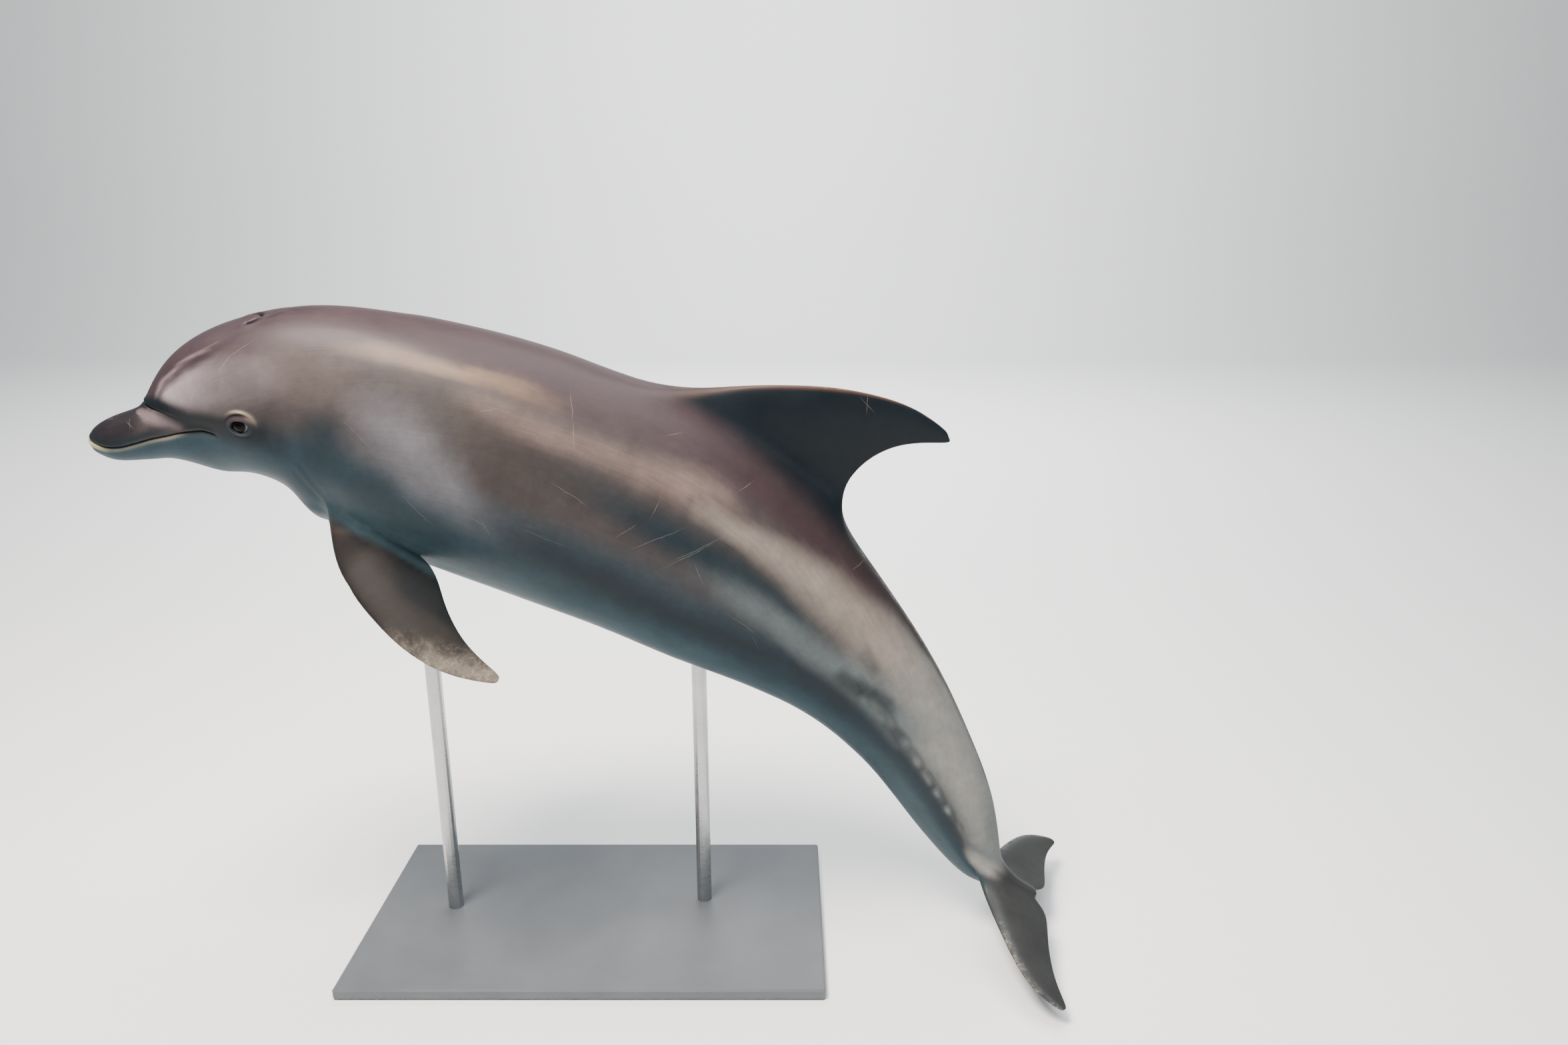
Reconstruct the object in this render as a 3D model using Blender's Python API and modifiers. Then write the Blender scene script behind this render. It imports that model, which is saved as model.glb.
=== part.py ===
# A bottlenose dolphin, life size, gliding in an arch with its tail swept down.
# It is a still display model: a plain base and two rods hold it above the floor.
#
# The body is laid out straight first, by station: the distance back from the
# beak's tip along the backbone.  Each station has a section round the backbone.
# The backbone is then bent into the pose, and the solids are parted from it.
# Metres, +Z up.  The dolphin faces -X, and its left side faces -Y.

import math

import bmesh
import bpy
from mathutils import Matrix, Vector

# ---------------------------------------------------------------- driving sizes

LENGTH = 2.40             # beak tip to the notch between the flukes
GAP = 0.0003              # clearance where two pieces meet
SUBDIVISION = 1

# The pose: where the beak's tip is, and how the backbone turns along its length.
# Pitch is downward from head to tail, yaw is to the right, and roll leans the
# back towards the dolphin's left.
BEAK_TIP = (-1.018, -0.116, 1.168)
PITCH = ((0.34, -10), (0.44, 7.5), (0.54, 17), (0.66, 20.3), (0.82, 21), (1.0, 22.3),
         (1.2, 29), (1.4, 38), (1.6, 44), (1.8, 54.5), (1.95, 61), (2.08, 65),
         (2.18, 61), (2.28, 36), (2.40, 19))
YAW = ((0.36, 10), (0.8, 5), (1.2, 0), (1.7, -6), (2.4, -10))
ROLL = ((0.0, 9), (0.5, 8), (1.2, 6), (2.4, 4))

# Sections of the head and body: reach above, below and beside the backbone.
BACK = ((0.10, 0.135), (0.18, 0.146), (0.24, 0.158), (0.32, 0.172), (0.42, 0.193),
        (0.52, 0.208), (0.64, 0.227), (0.80, 0.241), (0.96, 0.247), (1.12, 0.246),
        (1.30, 0.231), (1.50, 0.192), (1.62, 0.162), (1.75, 0.142), (1.90, 0.120),
        (2.05, 0.108), (2.16, 0.092), (2.24, 0.057), (2.32, 0.021), (2.40, 0.008))
BELLY = ((0.16, 0.066), (0.22, 0.115), (0.26, 0.130), (0.30, 0.143), (0.36, 0.185),
         (0.42, 0.236),
         (0.50, 0.249), (0.60, 0.263), (0.80, 0.279), (1.04, 0.283), (1.20, 0.280),
         (1.36, 0.265), (1.52, 0.223), (1.68, 0.176), (1.84, 0.141), (2.00, 0.109),
         (2.12, 0.088), (2.22, 0.060), (2.32, 0.022), (2.40, 0.008))
FLANK = ((0.16, 0.118), (0.30, 0.126), (0.36, 0.131), (0.46, 0.150), (0.60, 0.182),
         (0.80, 0.207), (1.00, 0.212), (1.20, 0.203), (1.40, 0.176), (1.60, 0.135),
         (1.80, 0.092), (1.95, 0.062), (2.10, 0.038), (2.22, 0.029), (2.40, 0.019))
SQUARENESS = ((0.10, 2.2), (0.30, 2.1), (0.60, 2.0), (1.20, 2.0), (1.60, 1.9),
              (2.00, 1.75), (2.40, 1.9))

# The beak, whose tip is round and blunt.
BEAK_TOP = ((0.0, 0.028), (0.03, 0.032), (0.08, 0.042), (0.14, 0.053), (0.30, 0.065))
BEAK_UNDER = ((0.0, 0.032), (0.03, 0.044), (0.08, 0.055), (0.14, 0.064), (0.18, 0.082),
              (0.22, 0.110), (0.28, 0.116), (0.36, 0.120))
BEAK_SIDE = ((0.0, 0.030), (0.03, 0.035), (0.08, 0.042), (0.14, 0.054), (0.20, 0.075),
             (0.28, 0.097), (0.38, 0.110))
BEAK_SQUARENESS = 2.15
BEAK_ROUNDING = 0.035

# The melon rises out of the beak at a crease, which runs back and down each side.
CREASE = 0.114            # station of the crease on the midline
CREASE_SWEEP = 0.085      # how much further back the crease is beside the mouth
MELON_REACH = 0.18       # distance in which the melon reaches its full height
CHEEK_REACH = 0.16        # the same for the side of the head
JOINING = 16              # the larger, the sharper the crease

# Angles round the section at which the rows of the body's mesh run, from the back.
ROWS = (0, 20, 44, 70, 90, 110, 126, 139, 151, 163, 180)
HALF = len(ROWS) - 1
AROUND = 2 * HALF
STATIONS = (0.012, 0.038, 0.078, 0.116, 0.145, 0.185, 0.230, 0.280, 0.335, 0.390,
            0.450,
            0.500, 0.533, 0.567, 0.600,
            0.710, 0.860,
            1.030, 1.142, 1.255, 1.367, 1.480,
            1.630, 1.790, 1.950, 2.090,
            2.225, 2.275, 2.330, 2.384)

# Stations between which each fin grows out of the body.
DORSAL_ROOT = (1.030, 1.480)
FLIPPER_CHORD = (0.500, 0.600)
FLUKE_CHORD = (2.225, 2.384)

# Fins: outlines of the leading and trailing edge from root to tip, as
# (share of the way, distance back, distance out), with the half thickness.
# The dorsal fin is measured from the backbone at its own station.
DORSAL_STATION = 1.30
DORSAL_LEADING = ((0, -0.270, 0.225), (0.25, -0.152, 0.328), (0.50, -0.020, 0.414),
                  (0.70, 0.076, 0.459), (0.85, 0.155, 0.479), (1, 0.227, 0.480))
DORSAL_TRAILING = ((0, 0.185, 0.195), (0.25, 0.141, 0.257), (0.50, 0.134, 0.313),
                   (0.70, 0.153, 0.371), (0.85, 0.190, 0.415), (1, 0.256, 0.458))
DORSAL_THICKNESS = ((0, 0.026), (0.5, 0.013), (1, 0.004))

FLIPPER_STATION = 0.55
FLIPPER_ROOT = (0.105, -0.207)     # beside and above the backbone
FLIPPER_SPLAY = 41                 # degrees below level at which the blade lies
FLIPPER_LEADING = ((0, -0.044, 0.012), (0.25, 0.025, 0.104), (0.50, 0.107, 0.178),
                   (0.70, 0.185, 0.226), (0.85, 0.264, 0.249), (1, 0.354, 0.251))
FLIPPER_TRAILING = ((0, 0.050, 0.018), (0.12, 0.125, 0.019), (0.25, 0.194, 0.033),
                    (0.50, 0.219, 0.110), (0.75, 0.272, 0.172), (1, 0.362, 0.226))
FLIPPER_THICKNESS = ((0, 0.022), (0.5, 0.011), (1, 0.004))

FLUKE_STATION = LENGTH
FLUKE_DROOP = 6                    # degrees by which a fluke hangs from level
FLUKE_LEADING = ((0, -0.160, 0.025), (0.2, -0.128, 0.055), (0.4, -0.100, 0.115),
                 (0.6, -0.066, 0.190), (0.8, -0.022, 0.251), (1, 0.044, 0.288))
FLUKE_TRAILING = ((0, 0.002, 0.018), (0.2, 0.017, 0.050), (0.4, 0.020, 0.100),
                  (0.6, 0.025, 0.155), (0.8, 0.037, 0.212), (1, 0.064, 0.272))
FLUKE_THICKNESS = ((0, 0.016), (0.5, 0.010), (1, 0.003))

FIN_LEVELS = (0.17, 0.46, 0.78, 1.0)

# Stations at which the body is parted.
HEAD_FRONT = 0.300
HEAD_BACK = 0.425
NECK_BACK = 0.490
CHEST_BACK = 0.800
TRUNK_BACK = 1.020
LOIN_BACK = 1.560
TAIL_FRONT_BACK = 1.850
TAIL_REAR_BACK = 2.140
FLUKE_SIDE = 0.048        # distance from the middle at which a fluke starts

NOTCH = 2.392             # station of the middle of the flukes' rear edge

EYE_STATION = 0.322
EYE_HEIGHT = 0.005
EYE_RADIUS = 0.0185
EYE_DEPTH = 0.0125         # the eyeball's centre below the skin

BLOWHOLE_STATION = 0.365
BLOWHOLE_ANGLE = 6        # degrees from the back's midline, to the left
BLOWHOLE_RADIUS = 0.013
BLOWHOLE_DEPTH = 0.020

# Display stand.
BASE_CENTRE = (-0.10, 0.0)
BASE_SIZE = (1.04, 0.54, 0.025)
BASE_EDGE = 0.004
ROD_RADIUS = 0.017
ROD_STATIONS = (0.70, 1.42)
ROD_INSET = 0.070         # how far a rod goes into the belly


# ---------------------------------------------------------------- curves

def along(knots, place, column=1):
    # Value at a place on the smooth curve through the knots, without overshoot.
    if place <= knots[0][0]:
        return knots[0][column]
    if place >= knots[-1][0]:
        return knots[-1][column]
    rises = [(b[column] - a[column]) / (b[0] - a[0]) for a, b in zip(knots, knots[1:])]
    slopes = [rises[0]]
    for before, after in zip(rises, rises[1:]):
        level = before * after <= 0
        slopes.append(0 if level else 2 * before * after / (before + after))
    slopes.append(rises[-1])
    i = max(k for k in range(len(knots) - 1) if knots[k][0] <= place)
    width = knots[i + 1][0] - knots[i][0]
    t = (place - knots[i][0]) / width
    start = knots[i][column]
    end = knots[i + 1][column]
    bend = (1 + 2 * t) * (1 - t) ** 2 * start + t * t * (3 - 2 * t) * end
    return bend + width * (t * (1 - t) ** 2 * slopes[i] - t * t * (1 - t) * slopes[i + 1])


def rounding(share):
    # Quarter of a circle from 0 to 1.
    share = min(max(share, 0), 1)
    return math.sqrt(1 - (1 - share) ** 2)


# ---------------------------------------------------------------- pose

STEP = 0.01


def heading(station):
    pitch = math.radians(along(PITCH, station))
    yaw = math.radians(along(YAW, station))
    return Vector((math.cos(pitch) * math.cos(yaw), math.cos(pitch) * math.sin(yaw),
                   -math.sin(pitch)))


def backbonePoints():
    points = [Vector(BEAK_TIP)]
    for i in range(round(LENGTH / STEP) + 1):
        points.append(points[-1] + STEP * heading((i + 0.5) * STEP))
    return points


BACKBONE = backbonePoints()


def frameAt(station):
    # Point on the backbone, with the directions back, left and up there.
    i = min(max(int(station / STEP), 0), len(BACKBONE) - 2)
    point = BACKBONE[i].lerp(BACKBONE[i + 1], station / STEP - i)
    back = heading(station)
    level = back.cross(Vector((0, 0, 1))).normalized()
    upright = level.cross(back)
    roll = math.radians(along(ROLL, station))
    left = level * math.cos(roll) - upright * math.sin(roll)
    up = upright * math.cos(roll) + level * math.sin(roll)
    return point, back, left, up


def posed(station, left, up):
    point, _, leftward, upward = frameAt(station)
    return point + leftward * left + upward * up


# ---------------------------------------------------------------- sections

def ovalReach(angle, side, height, squareness):
    sine = abs(math.sin(angle)) / side
    cosine = abs(math.cos(angle)) / height
    return (sine ** squareness + cosine ** squareness) ** (-1 / squareness)


def reach(station, angle):
    # Distance from the backbone to the skin, at an angle from the back's midline.
    upper = math.cos(angle) > 0
    height = along(BACK if upper else BELLY, station)
    body = ovalReach(angle, along(FLANK, station), height, along(SQUARENESS, station))
    if station > 0.46:
        return body
    tip = rounding(station / BEAK_ROUNDING)
    beakHeight = along(BEAK_TOP if upper else BEAK_UNDER, station)
    beak = tip * ovalReach(angle, along(BEAK_SIDE, station), beakHeight, BEAK_SQUARENESS)
    aside = (1 - math.cos(angle)) / 2
    start = CREASE + CREASE_SWEEP * min(2 * aside, 1)
    length = MELON_REACH + (CHEEK_REACH - MELON_REACH) * min(2 * aside, 1)
    body *= rounding((station - start) / length)
    return (beak ** JOINING + body ** JOINING) ** (1 / JOINING)


def rowAngle(row, station):
    # Rows run closer together where a fin's root needs them.
    row = row % AROUND
    mirrored = row > HALF
    if mirrored:
        row = AROUND - row
    angle = ROWS[row]
    if row == 1:
        angle -= 7 * nearness(station, *DORSAL_ROOT, 0.25)
    if row in (7, 9):
        angle += (8 - row) * 4 * nearness(station, *FLIPPER_CHORD, 0.25)
    return math.radians(-angle if mirrored else angle)


def nearness(place, start, end, fade):
    beyond = max(start - place, place - end, 0)
    return max(0, 1 - beyond / fade)


# ---------------------------------------------------------------- fins

def airfoil(share):
    return 2.2 * math.sqrt(share) * (1 - share) + 0.08


def finPoint(fin, level, share, side):
    # A point of a fin: level runs root to tip, share front to back, side is -1, 0, 1.
    back = out = 0
    for edge, part in ((fin["leading"], 1 - share), (fin["trailing"], share)):
        back += part * along(edge, level, 1)
        out += part * along(edge, level, 2)
    thick = side * along(fin["thickness"], level) * airfoil(share)
    return fin["origin"] + fin["back"] * back + fin["out"] * out + fin["over"] * thick


def dorsalFin():
    point, back, left, up = frameAt(DORSAL_STATION)
    return {"leading": DORSAL_LEADING, "trailing": DORSAL_TRAILING,
            "thickness": DORSAL_THICKNESS, "origin": point, "back": back, "out": up,
            "over": left, "stations": DORSAL_ROOT, "rows": (-1, 0, 1)}


def flipper(side):
    # side is 1 for the left flipper and -1 for the right one
    point, back, left, up = frameAt(FLIPPER_STATION)
    splay = math.radians(FLIPPER_SPLAY)
    root = point + side * left * FLIPPER_ROOT[0] + up * FLIPPER_ROOT[1]
    out = side * left * math.cos(splay) - up * math.sin(splay)
    over = side * left * math.sin(splay) + up * math.cos(splay)
    rows = (9, 8, 7) if side > 0 else (-9, -8, -7)
    return {"leading": FLIPPER_LEADING, "trailing": FLIPPER_TRAILING,
            "thickness": FLIPPER_THICKNESS, "origin": root, "back": back, "out": out,
            "over": over, "stations": FLIPPER_CHORD, "rows": rows}


def fluke(side):
    point, back, left, up = frameAt(FLUKE_STATION)
    droop = math.radians(FLUKE_DROOP)
    out = side * left * math.cos(droop) - up * math.sin(droop)
    over = side * left * math.sin(droop) + up * math.cos(droop)
    rows = (5, 4, 3) if side > 0 else (-5, -4, -3)
    return {"leading": FLUKE_LEADING, "trailing": FLUKE_TRAILING,
            "thickness": FLUKE_THICKNESS, "origin": point, "back": back, "out": out,
            "over": over, "stations": FLUKE_CHORD, "rows": rows}


# ---------------------------------------------------------------- the body's mesh

class Form:
    # Vertices and faces of the whole body, before it is subdivided.  A vertex's hold
    # says how closely the smoothed surface keeps to it.
    def __init__(self):
        self.points = []
        self.holds = []
        self.faces = []

    def add(self, point, hold=0.4):
        self.points.append(point)
        self.holds.append(hold)
        return len(self.points) - 1


def bodyForm():
    form = Form()
    ring = {}
    for i, station in enumerate(STATIONS):
        for row in range(AROUND):
            angle = rowAngle(row, station)
            far = reach(station, angle)
            point = posed(station, far * math.sin(angle), far * math.cos(angle))
            ring[i, row] = form.add(point, 0.8 if i < len(STATIONS) - 1 else 0.4)
    fins = [dorsalFin(), flipper(1), flipper(-1), fluke(1), fluke(-1)]
    open_ = set()
    for fin in fins:
        first, last = (STATIONS.index(end) for end in fin["stations"])
        rows = sorted(fin["rows"])
        for i in range(first, last):
            open_.update((i, row % AROUND) for row in rows[:2])
    for i in range(len(STATIONS) - 1):
        for row in range(AROUND):
            if (i, row) not in open_:
                after = (row + 1) % AROUND
                form.faces.append((ring[i, row], ring[i, after],
                                   ring[i + 1, after], ring[i + 1, row]))
    for fin in fins:
        addFin(form, ring, fin)
    addCap(form, ring, 0, 0.0)
    addCap(form, ring, len(STATIONS) - 1, NOTCH)
    return form


def addFin(form, ring, fin):
    first, last = (STATIONS.index(end) for end in fin["stations"])
    under, middle, over = fin["rows"]
    span = last - first
    places = [(k, under) for k in range(span + 1)] + [(span, middle)]
    places += [(k, over) for k in range(span, -1, -1)] + [(0, middle)]
    loop = [ring[first + k, row % AROUND] for k, row in places]

    def spot(level, k, row):
        side = 0 if row == middle else (1 if row == over else -1)
        share = k / span
        if side:
            share = min(max(share, 0.05), 0.92)
        return finPoint(fin, level, share, side)

    for level in FIN_LEVELS:
        outer = []
        for k, row in places:
            hold = 0.6 if level < 1 else (0.0 if k in (0, span) else 0.4)
            outer.append(form.add(spot(level, k, row), hold))
        count = len(loop)
        for a in range(count):
            b = (a + 1) % count
            form.faces.append((loop[a], loop[b], outer[b], outer[a]))
        loop = outer
    edge = dict(zip(places, loop))
    for k in range(1, span):
        edge[k, middle] = form.add(spot(1.0, k, middle))
    for k in range(span):
        for a, b in ((under, middle), (middle, over)):
            form.faces.append((edge[k, a], edge[k + 1, a], edge[k + 1, b], edge[k, b]))


def addCap(form, ring, i, end):
    # A grid of faces over the end ring, six across, bulging to the end station.
    across = 6
    down = HALF - across
    corner = across // 2
    station = STATIONS[i]
    grid = {}
    for c in range(across + 1):
        grid[c, 0] = ring[i, (corner - c) % AROUND]
        grid[c, down] = ring[i, (HALF - corner + c) % AROUND]
    for r in range(down + 1):
        grid[0, r] = ring[i, corner + r]
        grid[across, r] = ring[i, (-corner - r) % AROUND]
    for c in range(1, across):
        for r in range(1, down):
            u = 2 * c / across - 1
            v = 2 * r / down - 1
            size = max(abs(u), abs(v))
            angle = math.atan2(-u, -v)
            bulge = end + (station - end) * size ** 2
            far = reach(station, angle) * size
            grid[c, r] = form.add(posed(bulge, far * math.sin(angle), far * math.cos(angle)))
    for c in range(across):
        for r in range(down):
            form.faces.append((grid[c, r], grid[c + 1, r], grid[c + 1, r + 1], grid[c, r + 1]))


# ---------------------------------------------------------------- objects

for item in list(bpy.data.objects):
    bpy.data.objects.remove(item, do_unlink=True)
for group in list(bpy.data.collections):
    bpy.data.collections.remove(group)

model = bpy.data.collections.new("bottlenose_dolphin")
cutters = bpy.data.collections.new("cutters")
for group in (model, cutters):
    bpy.context.scene.collection.children.link(group)


def objectFrom(name, mesh, group):
    item = bpy.data.objects.new(name, mesh)
    group.objects.link(item)
    return item


def cutterFrom(name, mesh):
    item = objectFrom(name, mesh, cutters)
    item.hide_render = True
    item.display_type = "WIRE"
    return item


def material(name, colour, roughness, metallic=0.0):
    made = bpy.data.materials.new(name)
    made.use_nodes = True
    shader = made.node_tree.nodes["Principled BSDF"]
    shader.inputs["Base Color"].default_value = (*colour, 1)
    shader.inputs["Roughness"].default_value = roughness
    shader.inputs["Metallic"].default_value = metallic
    made.diffuse_color = (*colour, 1)
    return made


def shadeSmooth(mesh):
    for face in mesh.polygons:
        face.use_smooth = True


def evaluated(item):
    graph = bpy.context.evaluated_depsgraph_get()
    return bpy.data.meshes.new_from_object(item.evaluated_get(graph))


def wholeBody():
    form = bodyForm()
    mesh = bpy.data.meshes.new("whole_body")
    mesh.from_pydata(form.points, [], form.faces)
    tidy = bmesh.new()
    tidy.from_mesh(mesh)
    bmesh.ops.recalc_face_normals(tidy, faces=tidy.faces)
    tidy.to_mesh(mesh)
    tidy.free()
    shadeSmooth(mesh)
    item = cutterFrom("whole_body", mesh)
    smooth = item.modifiers.new("Smooth", "SUBSURF")
    smooth.levels = SUBDIVISION
    smooth.render_levels = SUBDIVISION
    # Smoothing draws the surface in from its cage, so the cage is moved out again
    # until the surface passes through the points of the sections.
    for _ in range(3):
        drawn = evaluated(item)
        for corner, wanted, hold, found in zip(mesh.vertices, form.points, form.holds,
                                               drawn.vertices):
            corner.co += hold * (wanted - found.co)
        bpy.data.meshes.remove(drawn)
        mesh.update()
        bpy.context.view_layer.update()
    return item


def bisected(source, name, planes):
    # The part of the source behind every plane, closed with flat faces.
    shape = bmesh.new()
    shape.from_mesh(source)
    for point, direction in planes:
        parts = shape.verts[:] + shape.edges[:] + shape.faces[:]
        cut = bmesh.ops.bisect_plane(shape, geom=parts, plane_co=point, dist=1e-6,
                                     plane_no=direction, clear_outer=True)
        rim = [edge for edge in cut["geom_cut"] if isinstance(edge, bmesh.types.BMEdge)]
        bmesh.ops.contextual_create(shape, geom=rim)
    bmesh.ops.recalc_face_normals(shape, faces=shape.faces)
    mesh = bpy.data.meshes.new(name)
    shape.to_mesh(mesh)
    shape.free()
    return mesh


def before(station):
    point, back, _, _ = frameAt(station)
    return point - back * GAP / 2, back


def after(station):
    point, back, _, _ = frameAt(station)
    return point + back * GAP / 2, -back


def prismCutter(name, fin, outline, half, grow=0.0):
    # A prism over a fin, its outline given as (distance back, distance out).
    mesh = bpy.data.meshes.new(name)
    points = []
    for side in (-half - grow, half + grow):
        for back, out in outline:
            points.append(fin["origin"] + fin["back"] * back
                          + fin["out"] * (out - grow) + fin["over"] * side)
    count = len(outline)
    faces = [tuple(range(count)), tuple(range(2 * count - 1, count - 1, -1))]
    for a in range(count):
        b = (a + 1) % count
        faces.append((a, a + count, b + count, b))
    shape = bmesh.new()
    mesh.from_pydata(points, [], faces)
    shape.from_mesh(mesh)
    bmesh.ops.recalc_face_normals(shape, faces=shape.faces)
    shape.to_mesh(mesh)
    shape.free()
    return cutterFrom(name, mesh)


def roundPiece(name, radius, height, sides, place, group, top=None):
    # A cylinder or cone frustum whose foot stands at its place, along +Z.
    shape = bmesh.new()
    lift = Matrix.Translation((0, 0, height / 2))
    bmesh.ops.create_cone(shape, cap_ends=True, segments=sides, radius1=radius,
                          radius2=radius if top is None else top, depth=height, matrix=lift)
    mesh = bpy.data.meshes.new(name)
    shape.to_mesh(mesh)
    shape.free()
    shadeSmooth(mesh)
    item = objectFrom(name, mesh, group)
    item.location = place
    return item


def ball(name, radius, place, group, columns=12, rings=7):
    shape = bmesh.new()
    bmesh.ops.create_uvsphere(shape, u_segments=columns, v_segments=rings, radius=radius)
    mesh = bpy.data.meshes.new(name)
    shape.to_mesh(mesh)
    shape.free()
    shadeSmooth(mesh)
    item = objectFrom(name, mesh, group)
    item.location = place
    return item


def boolean(item, cutter, operation="DIFFERENCE"):
    made = item.modifiers.new(cutter.name, "BOOLEAN")
    made.operation = operation
    made.solver = "EXACT"
    made.object = cutter
    return made


def hideCutter(item):
    item.hide_render = True
    item.display_type = "WIRE"
    return item


whole = wholeBody()
body = evaluated(whole)

backSkin = material("back_skin", (0.22, 0.19, 0.19), 0.32)
flankSkin = material("flank_skin", (0.30, 0.28, 0.28), 0.34)
bellySkin = material("belly_skin", (0.52, 0.53, 0.52), 0.36)
finSkin = material("fin_skin", (0.08, 0.09, 0.10), 0.30)
eyeSurface = material("eye_surface", (0.03, 0.02, 0.015), 0.08)
standPaint = material("stand_paint", (0.72, 0.71, 0.69), 0.45)
rodSteel = material("rod_steel", (0.60, 0.60, 0.60), 0.30, 1.0)


def node(name, planes, skin):
    item = objectFrom(name, bisected(body, name, planes), model)
    item.data.materials.append(skin)
    return item


# Head front: the jaws meet at the mouth, and the melon sits on the upper jaw.
headPoint, _, headLeft, headUp = frameAt(HEAD_FRONT / 2)
mouthUnder = (headPoint - headUp * GAP / 2, headUp)
mouthOver = (headPoint + headUp * GAP / 2, -headUp)
creasePoint = posed(CREASE, 0, along(BEAK_TOP, CREASE))
creaseRun = posed(HEAD_FRONT, 0, 0.012) - creasePoint
creaseNormal = creaseRun.cross(headLeft).normalized()
if creaseNormal.dot(headUp) < 0:
    creaseNormal.negate()
jawTop = (creasePoint - creaseNormal * GAP / 2, creaseNormal)
melonUnder = (creasePoint + creaseNormal * GAP / 2, -creaseNormal)

lowerJaw = node("lower_jaw", [before(HEAD_FRONT), mouthUnder], bellySkin)
upperJaw = node("upper_jaw", [before(HEAD_FRONT), mouthOver, jawTop], flankSkin)
melon = node("melon", [before(HEAD_FRONT), mouthOver, melonUnder], backSkin)
head = node("head", [after(HEAD_FRONT), before(HEAD_BACK)], flankSkin)
neck = node("neck", [after(HEAD_BACK), before(NECK_BACK)], flankSkin)
chest = node("chest", [after(NECK_BACK), before(CHEST_BACK)], flankSkin)
trunk = node("trunk", [after(CHEST_BACK), before(TRUNK_BACK)], flankSkin)
loin = node("loin", [after(TRUNK_BACK), before(LOIN_BACK)], flankSkin)
tailFront = node("tail_front", [after(LOIN_BACK), before(TAIL_FRONT_BACK)], flankSkin)
tailRear = node("tail_rear", [after(TAIL_FRONT_BACK), before(TAIL_REAR_BACK)], flankSkin)

# The flukes are parted from the end of the tail by upright planes beside it.
flukePoint, _, flukeLeft, _ = frameAt(2.33)
sideOf = {1: flukeLeft, -1: -flukeLeft}
tailEnd = [after(TAIL_REAR_BACK)]
for side, name in ((1, "fluke_left"), (-1, "fluke_right")):
    outward = sideOf[side]
    edge = flukePoint + outward * FLUKE_SIDE
    node(name, [after(TAIL_REAR_BACK), (edge + outward * GAP / 2, -outward)], finSkin)
    tailEnd.append((edge - outward * GAP / 2, outward))
node("tail_end", tailEnd, flankSkin)

# The other fins are parted by prisms whose inner faces run along their roots.
finOutlines = (
    ("dorsal_fin", dorsalFin(), loin, 0.08,
     ((-0.270, 0.252), (0.230, 0.212), (0.330, 0.300), (0.330, 0.560), (-0.270, 0.560))),
    ("flipper_left", flipper(1), chest, 0.06,
     ((-0.100, 0.030), (0.110, 0.036), (0.240, 0.060), (0.420, 0.160), (0.420, 0.340),
      (-0.100, 0.340))),
    ("flipper_right", flipper(-1), chest, 0.06,
     ((-0.100, 0.030), (0.110, 0.036), (0.240, 0.060), (0.420, 0.160), (0.420, 0.340),
      (-0.100, 0.340))),
)
for name, fin, carrier, half, outline in finOutlines:
    inside = prismCutter(name + "_cutter", fin, outline, half)
    around = prismCutter(name + "_clearance", fin, outline, half, GAP)
    item = objectFrom(name, body.copy(), model)
    item.data.materials.append(finSkin)
    boolean(item, inside, "INTERSECT")
    boolean(carrier, around)
    if name.startswith("flipper"):
        boolean(trunk, around)

# Eyes: a ball in a round socket on each side.
for side, name in ((1, "eye_left"), (-1, "eye_right")):
    angle = math.pi / 2 - EYE_HEIGHT / along(FLANK, EYE_STATION)
    far = reach(EYE_STATION, angle) - EYE_DEPTH
    centre = posed(EYE_STATION, side * far, EYE_HEIGHT)
    socket = ball(name + "_socket", EYE_RADIUS + GAP, centre, cutters)
    boolean(head, hideCutter(socket))
    item = ball(name, EYE_RADIUS, centre, model)
    item.data.materials.append(eyeSurface)

# Blowhole: a round plug that closes the nostril, level with the skin.
lean = math.radians(BLOWHOLE_ANGLE)
point, _, left, up = frameAt(BLOWHOLE_STATION)
outward = up * math.cos(lean) + left * math.sin(lean)
crown = point + outward * (reach(BLOWHOLE_STATION, lean) - BLOWHOLE_DEPTH)
tilt = outward.to_track_quat("Z", "Y").to_euler()
well = roundPiece("blowhole_well", BLOWHOLE_RADIUS + GAP, 2 * BLOWHOLE_DEPTH, 12,
                  crown - outward * GAP, cutters)
core = roundPiece("blowhole_core", BLOWHOLE_RADIUS, 2 * BLOWHOLE_DEPTH, 12, crown, cutters)
for item in (well, core):
    item.rotation_euler = tilt
    hideCutter(item)
boolean(head, well)
blowhole = node("blowhole", [after(HEAD_FRONT), before(HEAD_BACK)], backSkin)
boolean(blowhole, core, "INTERSECT")

# Stand: a flat base, and two rods that go up into the belly.
base = bpy.data.meshes.new("stand_base")
shape = bmesh.new()
bmesh.ops.create_cube(shape, size=1.0)
bmesh.ops.scale(shape, vec=BASE_SIZE, verts=shape.verts)
shape.to_mesh(base)
shape.free()
standBase = objectFrom("stand_base", base, model)
standBase.location = (*BASE_CENTRE, BASE_SIZE[2] / 2)
standBase.data.materials.append(standPaint)
bevel = standBase.modifiers.new("Edge", "BEVEL")
bevel.width = BASE_EDGE
bevel.segments = 1

for station, name in zip(ROD_STATIONS, ("front", "rear")):
    point, _, _, up = frameAt(station)
    lowest = point - up * reach(station, math.pi)
    foot = (lowest.x, lowest.y, BASE_SIZE[2] + GAP)
    length = lowest.z + ROD_INSET - foot[2]
    rod = roundPiece("stand_rod_" + name, ROD_RADIUS, length, 16, foot, model)
    rod.data.materials.append(rodSteel)
    pocket = roundPiece("rod_pocket_" + name, ROD_RADIUS + GAP, length + GAP, 16, foot,
                        cutters)
    hideCutter(pocket)
    boolean(chest if name == "front" else loin, pocket)
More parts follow.
